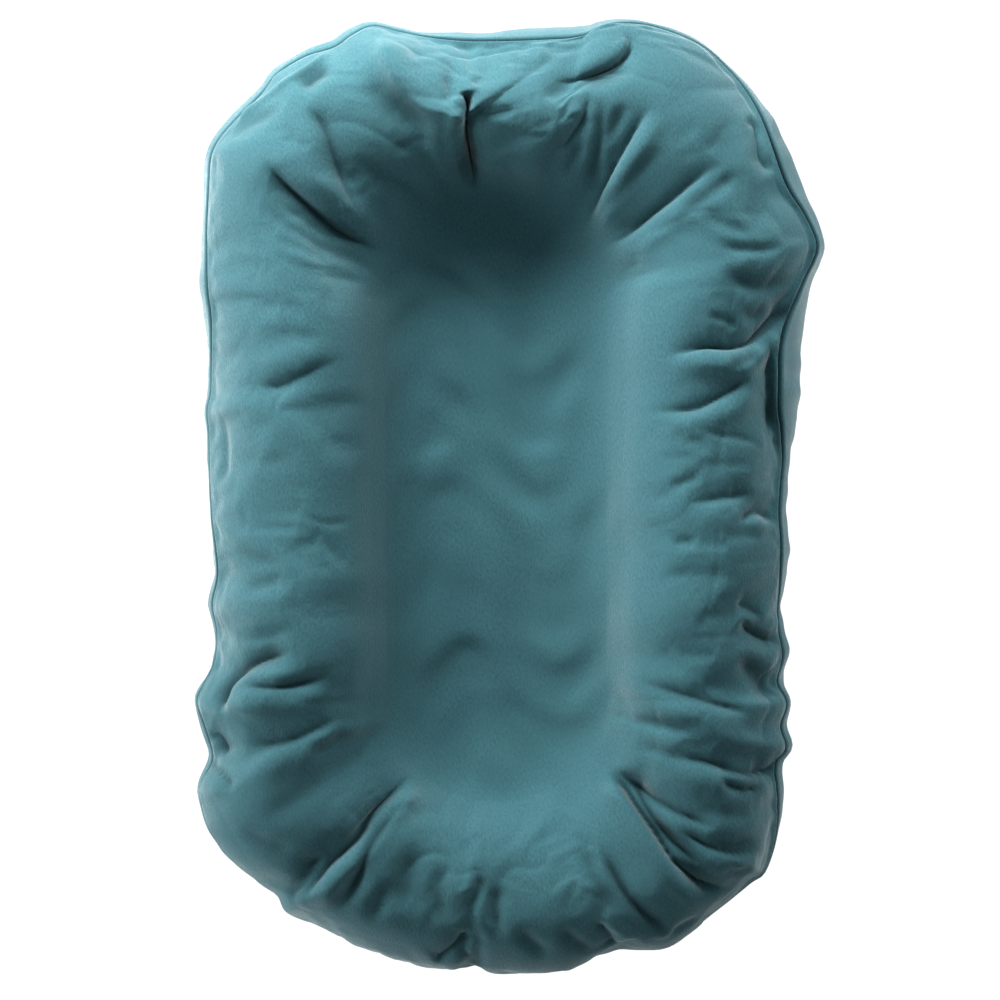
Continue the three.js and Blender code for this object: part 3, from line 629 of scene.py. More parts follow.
headRight = [
    crease([(548, 84), (566, 80), (588, 74), (606, 67), (621, 57), (630, 45), (629, 36), (620, 28)],
           11, 2.3, 9, 0.08, 2, (0.5, 0.3)),
    dent([(574, 84), (600, 84), (618, 74), (634, 58)], 3.5, 7),
    crease([(562, 151), (572, 138), (582, 124), (588, 104), (591, 86)], 3.5, 3, 6, 0.35, 1, (0.15, 0.5)),
    dent([(602, 96), (601, 120), (598, 146), (592, 178), (588, 198)], 3.5, 4.5),
    dent([(566, 174), (575, 156), (584, 138)], 2, 4),
    dent([(627, 106), (613, 130), (604, 152)], 3, 5),
    crease([(652, 106), (640, 124), (628, 144), (616, 164), (604, 186), (592, 212), (580, 238)],
           10, 3.5, 14, 0.5, 3, (0.3, 0.3)),
    dent([(657, 148), (636, 172), (616, 196), (604, 214)], 3, 6),
    crease([(714, 166), (690, 185), (668, 203), (648, 218), (626, 234), (600, 245)],
           7, 4, 13, 0.45, 2, (0.3, 0.3)),
    dent([(742, 172), (722, 186), (702, 200), (684, 212), (672, 218)], 4, 6),
    dent([(700, 214), (725, 228), (752, 237)], 2.5, 5),
    dent([(738, 118), (722, 145), (705, 178), (695, 200)], 2, 12),
    crease([(744, 118), (757, 123), (760, 140), (764, 158), (776, 170)], 3, 2.5, 5, 0.4, 0, (0.15, 0.15)),
    dent([(710, 245), (735, 251), (762, 251), (790, 245)], 3.5, 4.5),
    dent([(722, 264), (734, 280), (750, 287), (775, 286), (802, 279)], 4.5, 7),
    dent([(702, 318), (722, 321), (742, 330)], 1.8, 3.5),
    dent([(737, 312), (757, 318), (778, 306)], 2.5, 5),
]
rightSide = [
    crease([(808, 288), (786, 314), (762, 338), (748, 347), (728, 351), (705, 350), (685, 353), (662, 357)],
           11, 3.5, 11, 0.45, 3, (0.2, 0.3)),
    dent([(724, 371), (744, 362), (762, 353)], 3.5, 5),
    crease([(752, 377), (735, 389), (716, 400), (696, 409), (672, 411), (648, 411)],
           7, 4, 10, 0.4, 1.5, (0.2, 0.4)),
    crease([(770, 330), (773, 372), (775, 410), (771, 440)], 6, 3.5, 9, 0.3, 0, (0.3, 0.2)),
    dent([(688, 427), (720, 436), (748, 441), (768, 452)], 1.2, 3),
    dent([(668, 487), (688, 481), (704, 477)], 2.5, 4),
    crease([(757, 492), (735, 496), (712, 500), (682, 504)], 5, 4, 9, 0.35, 0.5, (0.3, 0.4)),
    crease([(779, 521), (762, 512), (750, 513), (736, 523)], 6, 3.5, 7, 0.35, 0, (0.25, 0.3)),
    dent([(670, 542), (698, 540)], 1.5, 4),
    dent([(660, 575), (700, 572), (745, 578)], 1.2, 6),
    crease([(764, 618), (748, 607), (734, 602)], 5, 3.5, 7),
    crease([(737, 618), (752, 629), (767, 637), (785, 645)], 7, 4, 9, 0.4, 1),
    dent([(738, 653), (755, 671), (768, 687), (782, 700)], 5, 8),
    crease([(756, 715), (727, 707), (700, 699), (672, 690), (638, 677)], 6, 4, 12, 0.4, 1, (0.25, 0.35)),
    dent([(632, 712), (670, 722), (710, 728)], 1.8, 7),
    crease([(778, 773), (755, 773), (735, 770), (710, 762), (685, 757), (662, 757)],
           6, 4, 9, 0.4, 1, (0.15, 0.35)),
    dent([(636, 742), (662, 752), (690, 757)], 2, 5),
    crease([(716, 777), (735, 786), (755, 789), (770, 786)], 6, 3.5, 7, 0.4, 1),
    crease([(764, 775), (774, 772), (782, 760)], 4, 2.5, 4, 0.3, 0, (0.2, 0.1)),
]
footRight = [
    crease([(720, 826), (695, 819), (672, 809), (650, 797), (632, 785), (616, 770)],
           7, 3.5, 12, 0.4, 1.5, (0.3, 0.2)),
    crease([(770, 852), (735, 853), (708, 846), (690, 835), (670, 821)], 6, 3.5, 8, 0.4, 1),
    dent([(702, 834), (730, 844), (764, 844)], 2.5, 4),
    dent([(690, 800), (725, 812), (765, 812)], 2, 6),
    crease([(736, 893), (703, 887), (688, 877), (672, 860), (658, 840), (642, 817), (628, 797), (611, 774)],
           13, 3, 5, 0.15, 2, (0.25, 0.12)),
    dent([(722, 886), (700, 874), (682, 855), (660, 825), (640, 797)], 4, 8),
    crease([(714, 869), (690, 856), (668, 838), (650, 815), (634, 792), (620, 774)],
           7, 3, 8, 0.3, 1, (0.3, 0.15)),
    crease([(670, 934), (646, 916), (625, 893), (610, 866), (597, 836)], 7, 5, 12, 0.35, 1, (0.2, 0.35)),
    dent([(581, 834), (588, 860), (600, 885), (622, 915)], 4, 7),
    crease([(592, 916), (605, 928), (613, 944)], 5, 3, 7, 0.4, 0, (0.3, 0.1)),
    dent([(664, 938), (684, 926), (704, 918)], 2.5, 3.5),
    dent([(646, 930), (664, 934), (676, 926)], -1.5, 2.5),
    dent([(515, 924), (535, 944), (553, 956)], 3, 6),
    dent([(558, 922), (574, 940), (592, 952)], 3, 5),
    dent([(720, 868), (742, 872), (756, 868)], 2.5, 4),
]
footLeft = [
    dent([(477, 858), (480, 882), (471, 905), (466, 926)], 4, 5),
    dent([(502, 874), (496, 908), (501, 942)], 4, 6),
    dent([(447, 856), (439, 888), (445, 925)], 3.5, 7),
    crease([(468, 930), (458, 944), (447, 954), (434, 965)], 5, 3, 6, 0.35, 0, (0.15, 0.15)),
    dent([(468, 930), (463, 950), (472, 966)], 3, 3.5),
    dent([(418, 838), (410, 872), (402, 912)], 3.5, 9),
    crease([(412, 772), (398, 792), (380, 812), (366, 832), (350, 848), (334, 862), (318, 880), (299, 898)],
           13, 3.2, 15, 0.4, 2.5, (0.2, 0.2)),
    crease([(405, 800), (388, 822), (372, 845), (362, 870), (350, 893), (337, 914)], 7, 4.5, 10, 0.4, 1),
    crease([(328, 848), (311, 867), (299, 884), (286, 902)], 5, 3.5, 7, 0.35, 0, (0.3, 0.15)),
    dent([(392, 872), (380, 900), (366, 925)], 2.5, 7),
    crease([(342, 714), (318, 727), (298, 737), (275, 742), (243, 745)], 6, 4.5, 12, 0.4, 1, (0.3, 0.35)),
    dent([(352, 727), (331, 742), (308, 753)], 3, 5),
    dent([(335, 768), (300, 795), (262, 817)], 1.5, 8),
    dent([(240, 826), (270, 842), (300, 846)], 2, 7),
]
leftSide = [
    crease([(296, 651), (268, 656), (248, 664), (232, 676), (222, 690), (216, 714)],
           10, 6, 9, 0.4, 1, (0.25, 0.12)),
    crease([(332, 671), (305, 682), (280, 686), (258, 685), (238, 681)], 7, 4, 8, 0.4, 1.5),
    dent([(300, 668), (272, 674), (250, 674)], -1.5, 4),
    crease([(224, 760), (218, 742), (206, 736)], 6, 4, 8, 0.3, 0, (0.3, 0.2)),
    crease([(236, 790), (222, 775), (205, 768)], 4, 4, 8, 0.3, 0, (0.3, 0.2)),
    crease([(256, 388), (278, 386), (297, 379), (318, 369), (346, 355)], 4, 4.5, 9, 0.4, 0.5, (0.25, 0.5)),
    dent([(250, 345), (285, 338), (330, 342)], 1.2, 6),
    dent([(300, 512), (325, 523), (352, 520)], 0.8, 3),
    dent([(232, 545), (256, 560), (290, 562)], 1.6, 6),
    dent([(238, 590), (265, 584), (292, 574)], 2, 6),
    dent([(226, 641), (260, 636), (302, 626)], 1.6, 5),
    dent([(232, 455), (262, 462), (300, 458)], 1.0, 6),
    dent([(214, 410), (219, 440), (219, 470), (213, 494)], 2, 3.5),
]
folds = headLeft + headMiddle + headRight + rightSide + footRight + footLeft + leftSide


# What all folds share. Places and widths of the ridge, the lap and the painted shade are in
# widths of the sharp side.
folding = {
    "reach": 4,  # times the wider side, past which a fold moves nothing
    "ridgeAt": 3.2,
    "ridgeWidth": 2.4,
    "lapAt": 1.4,
    "shadeWidth": 0.8,
    "shadePower": 1.5,
    "fullShadeDepth": 7.5 * mm,  # a valley this deep gets the full painted shade
    "end": (2.0, 0.35),  # folds die out before the sling: place across, and over so much
}


# How far a fold moves points seen from above: outwards, and sideways over its valley, and the
# painted shade that it lays on them, up to 1. The distance to its line is negative on the sharp side.
# The valley dies away as the exponential of a power of the distance.
def foldMove(shape, plan):
    line = curveThrough(planFromPixels(shape["pixels"], picture["foldHeight"]), picture["steps"]["fold"])
    sharp, broad = shape["sharp"], shape["broad"]
    widest = folding["reach"] * max(sharp, broad)
    near = np.flatnonzero(np.all((plan > line.min(0) - widest) & (plan < line.max(0) + widest), axis=1))
    step = np.diff(line, axis=0)
    length = np.linalg.norm(step, axis=1)
    offset = plan[near][:, None, :] - line[:-1]
    share = np.clip((offset * step).sum(2) / length**2, 0, 1)
    offset -= step * share[:, :, None]
    distance = np.linalg.norm(offset, axis=2)
    best, rows = distance.argmin(1), np.arange(len(near))
    direction, gap = (step / length[:, None])[best], offset[rows, best]
    left = direction[:, 0] * gap[:, 1] - direction[:, 1] * gap[:, 0]
    signed = np.where(left > 0, -1, 1) * distance[rows, best]
    before = np.concatenate([[0], length.cumsum()])
    along = (before[best] + share[rows, best] * length[best]) / before[-1]
    strength = smoothStep(along / shape["fade"][0]) * smoothStep((1 - along) / shape["fade"][1])
    sharpSide, broadSide = (hump(signed, width, power)
                            for width, power in zip((sharp, broad), shape["powers"]))
    valley = np.where(signed < 0, sharpSide, broadSide)
    ridge = hump(signed + folding["ridgeAt"] * sharp, folding["ridgeWidth"] * sharp)
    rise = shape["depth"] * strength * (shape["ridge"] * ridge - valley)
    across = np.stack([direction[:, 1], -direction[:, 0]], axis=1)
    lap = shape["lap"] * strength * hump(signed + folding["lapAt"] * sharp, sharp)
    slide = across * lap[:, None]
    depthShare = min(abs(shape["depth"]) / folding["fullShadeDepth"], 1)
    tucked = strength * hump(signed, folding["shadeWidth"] * sharp, folding["shadePower"]) * depthShare
    return near, rise, slide, tucked


# Slack of the cover: ripples that run across the ring, closer and deeper near the edge seam
# and round the ends, a slow unevenness of the filling below, puckers along the seam, and loose
# cloth over the sling. Each kind has its height, and its noise as a pitch round the ring, cells
# across it, a lean and a seed. Shares are of that height: everywhere, then what is added.
slack = {
    "fine": {"height": 0.55 * mm, "noises": ((14 * mm, 6, 0.006, 11), (14 * mm, 5, -0.01, 21)),
             "shares": (0.2, 0.6, 0.4), "edge": 0.35},  # added at the edge and at the ends
    "middle": {"height": 1.5 * mm, "noise": (30 * mm, 2, 0.012, 12), "shares": (0.5, 0.6)},
    "slow": {"height": 3.0 * mm, "noise": (95 * mm, 4, -0.01, 13)},
    "pucker": {"height": 1.2 * mm, "noise": (12 * mm, 30, 0, 14), "at": 0.09, "width": 0.08,
               "patches": (60 * mm, 1, 0, 28), "patchShare": 0.3, "ease": 0.04},
    "crisp": {"height": 2.0 * mm, "noises": ((44 * mm, 4, 0.012, 15), (44 * mm, 5, -0.016, 16)),
              "width": 0.13, "power": 1.2, "bend": 0.14, "bends": (60 * mm, 9, 0.01, 27),
              "patches": ((110 * mm, 4, 0, 25), (110 * mm, 4, 0, 26)), "patchShares": (0.35, 0.9),
              "shares": (0.25, 0.45, 0.75), "ease": 0.15, "end": (1.85, 0.5)},
    "well": {"height": 4.0 * mm, "cells": (22, 7), "seed": 15, "span": (600 * mm, 200 * mm),
             "bends": (0.5, 0.05, 9, 4), "lean": 0.6, "noiseShare": 0.6, "start": (1.8, 0.5)},
    "ringEnd": (2.15, 0.5),  # the ring's own slack ends here, over so much
}


# Noise round the ring and across it. Its ripples lean by skew from one edge to the other.
def ripple(sections, a, pitch, cells, skew, seed):
    along = np.mod(sections["run"] / loopRun + skew * a, 1)
    return latticeNoise(along, np.broadcast_to(a / 3, along.shape), (int(loopRun / pitch), cells), seed)


# Loose cloth over the sling: ripples across it that swing out towards its ends, and waver as
# the sine of a slanting distance
def wellSlack(points):
    well = slack["well"]
    y = points[:, :, 1] / well["span"][0]
    x = (points[:, :, 0] - ring["spineX"]) / well["span"][1]
    swing, waver, wavesX, wavesY = well["bends"]
    bent = np.mod(0.5 + y + swing * y * np.abs(x) + waver * np.sin(wavesX * x + wavesY * y), 1)
    noise = latticeNoise(bent, np.clip(0.5 + x + well["lean"] * y, 0, 1), well["cells"], well["seed"])
    return well["height"] * smoothStep(0.5 + well["noiseShare"] * noise)


# Small creases: they lie where a noise drawn out across the ring passes through 0, and come
# and go in patches. The left side, which is stuffed tighter, has few.
def smallCreases(sections, a):
    crisp = slack["crisp"]
    a = a + crisp["bend"] * ripple(sections, a, *crisp["bends"])
    least, patchy = crisp["patchShares"]
    valleys = 0
    for noise, patches in zip(crisp["noises"], crisp["patches"]):
        patch = smoothStep(least + patchy * ripple(sections, a, *patches))
        valleys = valleys + hump(ripple(sections, a, *noise), crisp["width"], crisp["power"]) * patch
    everywhere, ends, right = crisp["shares"]
    share = np.maximum(everywhere + ends * sections["dy"] ** 2, right * smoothStep(sections["dx"]))
    end, over = crisp["end"]
    return -crisp["height"] * valleys * share * smoothStep(a / crisp["ease"]) * smoothStep((end - a) / over)


# All of the slack as a height: the sum of its kinds, each kept to its own part of the panel
def slackOf(sections, across, points):
    a = across[:, None]
    ends = sections["dy"] ** 2
    kind = slack["fine"]
    everywhere, atEdge, atEnds = kind["shares"]
    noise = sum(ripple(sections, a, *each) for each in kind["noises"])
    onRing = kind["height"] * (everywhere + atEdge * hump(a, kind["edge"]) + atEnds * ends) * noise
    kind = slack["middle"]
    everywhere, atEnds = kind["shares"]
    onRing = onRing + kind["height"] * (everywhere + atEnds * ends) * ripple(sections, a, *kind["noise"])
    kind = slack["slow"]
    onRing = onRing + kind["height"] * ripple(sections, a, *kind["noise"])
    kind = slack["pucker"]
    pucker = kind["height"] * ripple(sections, a, *kind["noise"]) * hump(a - kind["at"], kind["width"])
    pucker *= smoothStep(kind["patchShare"] + ripple(sections, a, *kind["patches"]))
    pucker *= smoothStep(a / kind["ease"])
    end, over = slack["ringEnd"]
    onRing *= smoothStep((end - a) / over)
    start, over = slack["well"]["start"]
    well = wellSlack(points) * smoothStep((a - start) / over)
    return onRing + smallCreases(sections, a) + pucker + well


# The edge of either panel turns in at the seam. At a distance from the seam line the cloth
# first stands proud and then dives, so that a dark groove is left between the two panels.
seamLip = {
    "rows": (0, 0.6, 1.2, 2.0, 3.0, 4.6),  # millimetres from the edge
    "heights": (-3.0, -1.6, -0.3, 0.5, 0.8, 0.5),  # millimetres above the panel's own line
    "level": 9,  # millimetres from the edge, where the height is back to 0
    "end": 0.1,  # places across: past this there is no lip
    "heldTo": 0.12,  # and up to this the seam holds the cloth
    "gap": 0.9 * mm,  # seam line to the edge
    "gapWidth": 0.05,  # places across
    "shade": (1.7 * mm, 0.8 * mm),  # painted shade fills the groove up to here, over so much
    "press": 2.6 * mm,  # how far the turned-in edge presses the layers below it
    "pressWidth": 7 * mm,
}
quarter = 105 * mm  # length of the outer quarter, seam to crown
lipCount = len(seamLip["rows"])
lipAcross = np.array(seamLip["rows"]) * mm / quarter
outerStart = 0.07  # place of the first row past the lip


# Places across a panel: the lip's rows, and so many rows in each of the panel's three parts
def rowsAcross(outerRows, middleRows, innerRows):
    return np.concatenate([lipAcross, np.linspace(outerStart, 1, outerRows, endpoint=False),
                           np.linspace(1, 2, middleRows, endpoint=False), np.linspace(2, 3, innerRows)])


# Painted shade in the seam's groove: full up to a distance from the seam, eased out over so much
def grooveShade(across):
    end, over = seamLip["shade"]
    return smoothStep((end - across * quarter) / over)


# The lip's height at places across, in straight lines from row to row
def lipRise(across):
    rows = np.array(seamLip["rows"] + (seamLip["level"],)) * mm
    heights = np.array(seamLip["heights"] + (0,)) * mm
    return np.where(across < seamLip["end"], np.interp(across * quarter, rows, heights), 0)


# The edge's step back from the seam line. It dies away as the exponential of a fourth power.
def lipShift(across, rest):
    return (seamLip["gap"] * hump(across, seamLip["gapWidth"], 4))[:, None, None] * gridSteps(rest)


# Simulated slack: the cover's top is cut a little too large for its filling, held at its seam
# and at the sling, and blown up softly, so that it settles into its own creases.
simulation = {
    "everyStation": 3, "everyRow": 2,  # how much coarser its grid is than the cover's
    "oversize": 0.035, "pressure": 2.0, "frames": 20, "quality": 6,
    "mass": 0.2, "stretch": 20, "shear": 8, "bending": 0.4,
    "heldFrom": 2.15, "to": 2.5,  # places across
    "cap": 9 * mm,  # the farthest that a point may go
    "kept": (0.35, 0.25),  # share of its way that is kept, and what the ends add
    "fade": (2.1, 0.6),
}


# A grid of points as cloth, settled with its held rows pinned
def simulateSlack(points, held):
    rows, columns = points.shape[:2]
    sheet = bpy.data.meshes.new("slackSheet")
    sheet.from_pydata(points.reshape(-1, 3).tolist(), [], gridFaces(rows, columns).tolist())
    blown = bpy.data.objects.new("slackSheet", sheet)
    bpy.context.scene.collection.objects.link(blown)
    pins = blown.vertex_groups.new(name="held")
    pins.add(np.flatnonzero(np.repeat(held, columns)).tolist(), 1.0, "REPLACE")
    cloth = blown.modifiers.new("cloth", "CLOTH")
    settings = cloth.settings
    settings.quality = simulation["quality"]
    settings.mass = simulation["mass"]
    settings.tension_stiffness = settings.compression_stiffness = simulation["stretch"]
    settings.shear_stiffness = simulation["shear"]
    settings.bending_stiffness = simulation["bending"]
    settings.shrink_min = -simulation["oversize"]
    settings.use_pressure = True
    settings.uniform_pressure_force = simulation["pressure"]
    settings.effector_weights.gravity = 0
    settings.vertex_group_mass = "held"
    cloth.collision_settings.use_collision = False
    cloth.point_cache.frame_start = 1
    cloth.point_cache.frame_end = simulation["frames"]
    for number in range(1, simulation["frames"] + 1):
        bpy.context.scene.frame_set(number)
    settled = blown.evaluated_get(bpy.context.evaluated_depsgraph_get()).to_mesh()
    result = np.empty(rows * columns * 3, np.float32)
    settled.vertices.foreach_get("co", result)
    bpy.data.objects.remove(blown)
    bpy.data.meshes.remove(sheet)
    bpy.context.scene.frame_set(1)
    return result.reshape(points.shape).astype(float)


# Fineness of the cover's top: sections round the ring, rows across it, and how much coarser
# its inner face is
coverGrid = {
    "halfSections": 414,
    "rows": (47, 44, 13),  # up to the crown, down the well's wall and across the sling
    "everyInner": 4, "everyInnerRow": 3, "everyLipRow": 2,
}


# Runs all round the ring, evenly spaced from foot to head on the right and back on the left
def sectionRuns(halfCount):
    right = np.linspace(footRun, headRun, halfCount + 1)
    return np.concatenate([right, 2 * headRun - right[1:-1][::-1]])


coverSections = sectionsAt(sectionRuns(coverGrid["halfSections"]))
coverAcross = rowsAcross(*coverGrid["rows"])
coverRest = topPoints(coverSections, coverAcross)
coverNormals = gridNormals(coverRest, toSpine=True)


# The simulation's moves, each capped by the hyperbolic tangent of its size, and brought from
# the coarse grid to the cover's
def settledMoves():
    moves = np.zeros(coverRest.shape)
    rowsUsed = np.arange(lipCount, len(coverAcross), simulation["everyRow"])
    rowsUsed = rowsUsed[coverAcross[rowsUsed] < simulation["to"]]
    start = coverRest[rowsUsed][:, ::simulation["everyStation"]]
    heldRows = (coverAcross[rowsUsed] > simulation["heldFrom"]) | (rowsUsed == lipCount)
    moved = simulateSlack(start, heldRows) - start
    size = np.linalg.norm(moved, axis=2, keepdims=True) + tiny
    moved *= simulation["cap"] * np.tanh(size / simulation["cap"]) / size
    print("simulated, moved by up to", round(float(size.max()) / mm, 1), "mm")
    count, columns = moved.shape[:2]
    byColumn = moved.transpose(1, 0, 2).reshape(columns, -1)
    finer = curveThrough(byColumn, simulation["everyStation"], closed=True)
    finer = finer.reshape(-1, count, 3).transpose(1, 0, 2)
    finer = curveThrough(finer.reshape(count, -1), simulation["everyRow"]).reshape(-1, finer.shape[1], 3)
    everywhere, atEnds = simulation["kept"]
    kept = everywhere + atEnds * coverSections["dy"] ** 2
    moves[lipCount:lipCount + len(finer)] = finer * kept[:, None]
    fadeEnd, over = simulation["fade"]
    return moves * smoothStep((fadeEnd - coverAcross) / over)[:, None, None]


# The sums of what all folds do to the cover's points, outwards and sideways, and the most painted
# shade that any of them lays on a point. A ridge lays none.
def foldMoves():
    plan = coverRest[:, :, :2].reshape(-1, 2)
    rises, slides, paintedShades = np.zeros(len(plan)), np.zeros((len(plan), 2)), np.zeros(len(plan))
    for shape in folds:
        near, rise, slide, tucked = foldMove(shape, plan)
        rises[near] += rise
        slides[near] += slide
        paintedShades[near] = np.maximum(paintedShades[near], tucked * np.sign(shape["depth"]))
    foldEnd, over = folding["end"]
    onRing = smoothStep((foldEnd - coverAcross) / over)[:, None]
    grid = coverRest.shape[:2]
    sideways = np.zeros(coverRest.shape)
    sideways[:, :, :2] = slides.reshape(grid + (2,)) * onRing[:, :, None]
    return rises.reshape(grid) * onRing, sideways, paintedShades.reshape(grid) * onRing


foldRise, foldSlide, paintedShades = foldMoves()
# the seam's groove takes painted shade too
paintedShades = np.maximum(paintedShades, grooveShade(coverAcross)[:, None])
# the seam itself stays put
free = smoothStep(coverAcross / seamLip["heldTo"])[:, None]
outwards = (slackOf(coverSections, coverAcross, coverRest) + foldRise) * free
outwards += lipRise(coverAcross)[:, None]
seamShift = lipShift(coverAcross, coverRest)
coverPoints = coverRest + coverNormals * outwards[:, :, None] + foldSlide * free[:, :, None]
coverPoints += seamShift + settledMoves()
coverHeight = ((coverPoints - coverRest) * coverNormals).sum(2)


# Area of a grid that closes on itself round the ring
def gridArea(points):
    across = np.diff(points, axis=0)
    around = np.roll(points, -1, 1) - points
    return float(np.linalg.norm(np.cross(across, around[:-1]), axis=2).sum())


print("cover shaped,", coverPoints.shape[0], "rows of", coverPoints.shape[1], "with an area of",
      round(gridArea(coverPoints), 3), "square metres on a ring of", round(gridArea(coverRest), 3))


# The least of a height over so many neighbours each way, round the ring and across. On the
# spine a section's neighbour is its mirror.
def leastNearby(height, cells):
    least = height.copy()
    mirror = -np.arange(height.shape[1])
    for _ in range(cells):
        least = np.minimum(least, np.minimum(np.roll(least, 1, 1), np.roll(least, -1, 1)))
        above, below = np.vstack([least[:1], least[:-1]]), np.vstack([least[1:], least[-1:]])
        least = np.minimum(least, np.minimum(above, below))
        least[-1] = np.minimum(least[-1], least[-1][mirror])
    return least


# The inner face is coarser than the outer one, and lies below the least height nearby
lowHeight = coverHeight.copy()
lowHeight[lipCount:] = leastNearby(coverHeight[lipCount:], coverGrid["everyInnerRow"])
innerRows = np.unique(np.concatenate([
    np.arange(0, lipCount, coverGrid["everyLipRow"]),
    np.arange(lipCount, len(coverAcross), coverGrid["everyInnerRow"]),
    [len(coverAcross) - 1],
]))
coverInner = coverRest + coverNormals * (lowHeight - ring["coverCloth"])[:, :, None] + seamShift
coverInner = coverInner[innerRows][:, ::coverGrid["everyInner"]]
coverFlat = laidFlat(coverSections, coverRest)


# The cover's top: its fine outer face, its coarse inner face, and the rim along the seam
def makeCoverTop():
    rows, columns = coverPoints.shape[:2]
    outer = gridFaces(rows, columns)
    inner = gridFaces(*coverInner.shape[:2])[:, ::-1] + rows * columns
    # along the seam each inner point fans out to the outer ones beside it
    every = coverGrid["everyInner"]
    far = rows * columns + np.arange(columns // every)
    after = np.roll(far, -1)
    near = np.arange(columns).reshape(-1, every)
    middle, last = every // 2, np.roll(near[:, 0], -1)
    edge = np.column_stack([near, last])
    fans = [np.column_stack([far, edge[:, k + 1], edge[:, k]]) for k in range(middle)]
    fans += [np.column_stack([after, edge[:, k + 1], edge[:, k]]) for k in range(middle, every)]
    rim = np.concatenate(fans + [np.column_stack([far, after, edge[:, middle]])])
    points = np.concatenate([coverPoints.reshape(-1, 3), coverInner.reshape(-1, 3)])
    flat = np.concatenate([coverFlat.reshape(-1, 2), coverFlat[innerRows][:, ::every].reshape(-1, 2)])
    # the inner face takes full painted shade
    tucked = np.concatenate([paintedShades.ravel(), np.ones(coverInner.shape[0] * coverInner.shape[1])])
    return makeMesh("coverTop", points, [outer, inner, rim], flat, tucked)


coverTop = finished(makeCoverTop(), "lounger", "cover_knit", knit, "cover_top")


beadStep = 0.02  # places across, to either side of a bead's line, that give its directions
beadWaves = 90  # round the ring


# A bead round the ring: an oval about a line that lies at a depth below the surface and wavers
# a little. Its first radius is along the surface, and all of it carries full painted shade.
def bead(name, sections, across, depth, radii, sides, waver, seed):
    rest = topPoints(sections, across + beadStep * np.array([-1, 0, 1]))
    normal, upward = gridNormals(rest)[1], gridSteps(rest)[1]
    run = sections["run"] / loopRun
    shift = waver * latticeNoise(run, 0 * run, (beadWaves, 1), seed)
    centre = rest[1] - normal * (depth + shift)[:, None]
    angle = (np.arange(sides) / sides * 2 * math.pi)[:, None, None]
    points = centre + normal * np.sin(angle) * radii[1] + upward * np.cos(angle) * radii[0]
    return makeMesh(name, points.reshape(-1, 3), gridFaces(sides, points.shape[1], wrapRows=True),
                    tucked=np.ones(points.size // 3))


# The seam itself, at the bottom of the groove: a bead of both panels' edges, in painted shade
welt = {"across": 0, "depth": 2.3 * mm, "radii": (0.95 * mm, 0.95 * mm), "sides": 8,
        "waver": 0.2 * mm, "seed": 31}
coverEdgeWelt = bead("coverEdgeWelt", coverSections, **welt)
finished(coverEdgeWelt, "lounger", "cover_knit", knit, "cover_edge_welt")

# Base panel, parted along the zip. From the seam it goes round under the ring, up to the
# raised middle and in to the zip's opening.
base = {
    "halfSections": 300,
    "endOffsets": (0.15, 0.8, 1.8, 3.2),  # extra sections beside the parting, in millimetres
    "rows": (30, 12, 10),  # round to the floor, along it and up to the raised part
    "flatRows": 12,  # and from there to the slot
    "slotHalf": 7 * mm,
    "slotEnd": 229.3 * mm,
    "slotLift": 0.5 * mm,  # how far the slot's edge stands up
    "partingGap": 0.05 * mm,
    "parted": (0.8, 0.2),  # its edges turn in from this place across on, eased over so much
    "turnIn": (0.9 * mm, 1.6 * mm),  # depth and width
    # width of the painted shade along the parting
    "shadeWidth": 1.3 * mm,
    # each kind of wrinkle is a height times its least share and its noise
    "wrinkles": {
        "fine": {"height": 0.9 * mm, "least": 0.3, "noise": (15 * mm, 8, 0.01, 41)},
        "middle": {"height": 1.8 * mm, "least": 0.5, "noise": (40 * mm, 5, 0.01, 42)},
        "under": {"height": 0.54 * mm, "least": 1, "noise": (30 * mm, 9, 0.02, 43)},
        "gather": {"height": 1.2 * mm, "least": 0, "noise": (11 * mm, 12, 0.004, 44)},
    },
    "sideShare": 0.5,  # of the fine ones at the sides, to which the ends add 1
    "gatherAt": (0.2, 0.2),  # place across and width
    "side": (0.95, 0.35, 0.1),  # end, the way to it, and the way up from the seam
    "underneath": (1.02, 3.88, 0.3),  # start, end, and the way to either
}


# Sections of one half, from one end of the parting round to the other
def baseSections(side):
    start, length = (footRun if side > 0 else headRun), headRun - footRun
    extra = np.array(base["endOffsets"]) * mm
    runs = np.concatenate([np.linspace(0, length, base["halfSections"] + 1), extra, length - extra])
    return sectionsAt(start + np.sort(runs))


# The slot's edge along a ray: where the ray meets the side of the slot or its end
def slotReach(sections):
    beside = base["slotHalf"] / np.maximum(np.abs(sections["dx"]), tiny)
    beyond = (base["slotEnd"] - np.abs(sections["y"])) / np.maximum(np.abs(sections["dy"]), tiny)
    return np.minimum(beside, beyond)


# Wrinkles of the base, outwards: fine, middle and gathered ones on its side, and shallow dents
# underneath
def baseWrinkles(sections, a):
    kinds = {name: kind["height"] * (kind["least"] + ripple(sections, np.minimum(a, 3), *kind["noise"]))
             for name, kind in base["wrinkles"].items()}
    gatherAt, gatherWidth = base["gatherAt"]
    raised = kinds["fine"] * (base["sideShare"] + sections["dy"] ** 2) + kinds["middle"]
    raised = raised + kinds["gather"] * hump(a - gatherAt, gatherWidth)
    end, over, fromSeam = base["side"]
    onSide = smoothStep((end - a) / over) * smoothStep(a / fromSeam)
    start, end, over = base["underneath"]
    underneath = smoothStep((a - start) / over) * smoothStep((end - a) / over)
    return raised * onSide - kinds["under"] * underneath
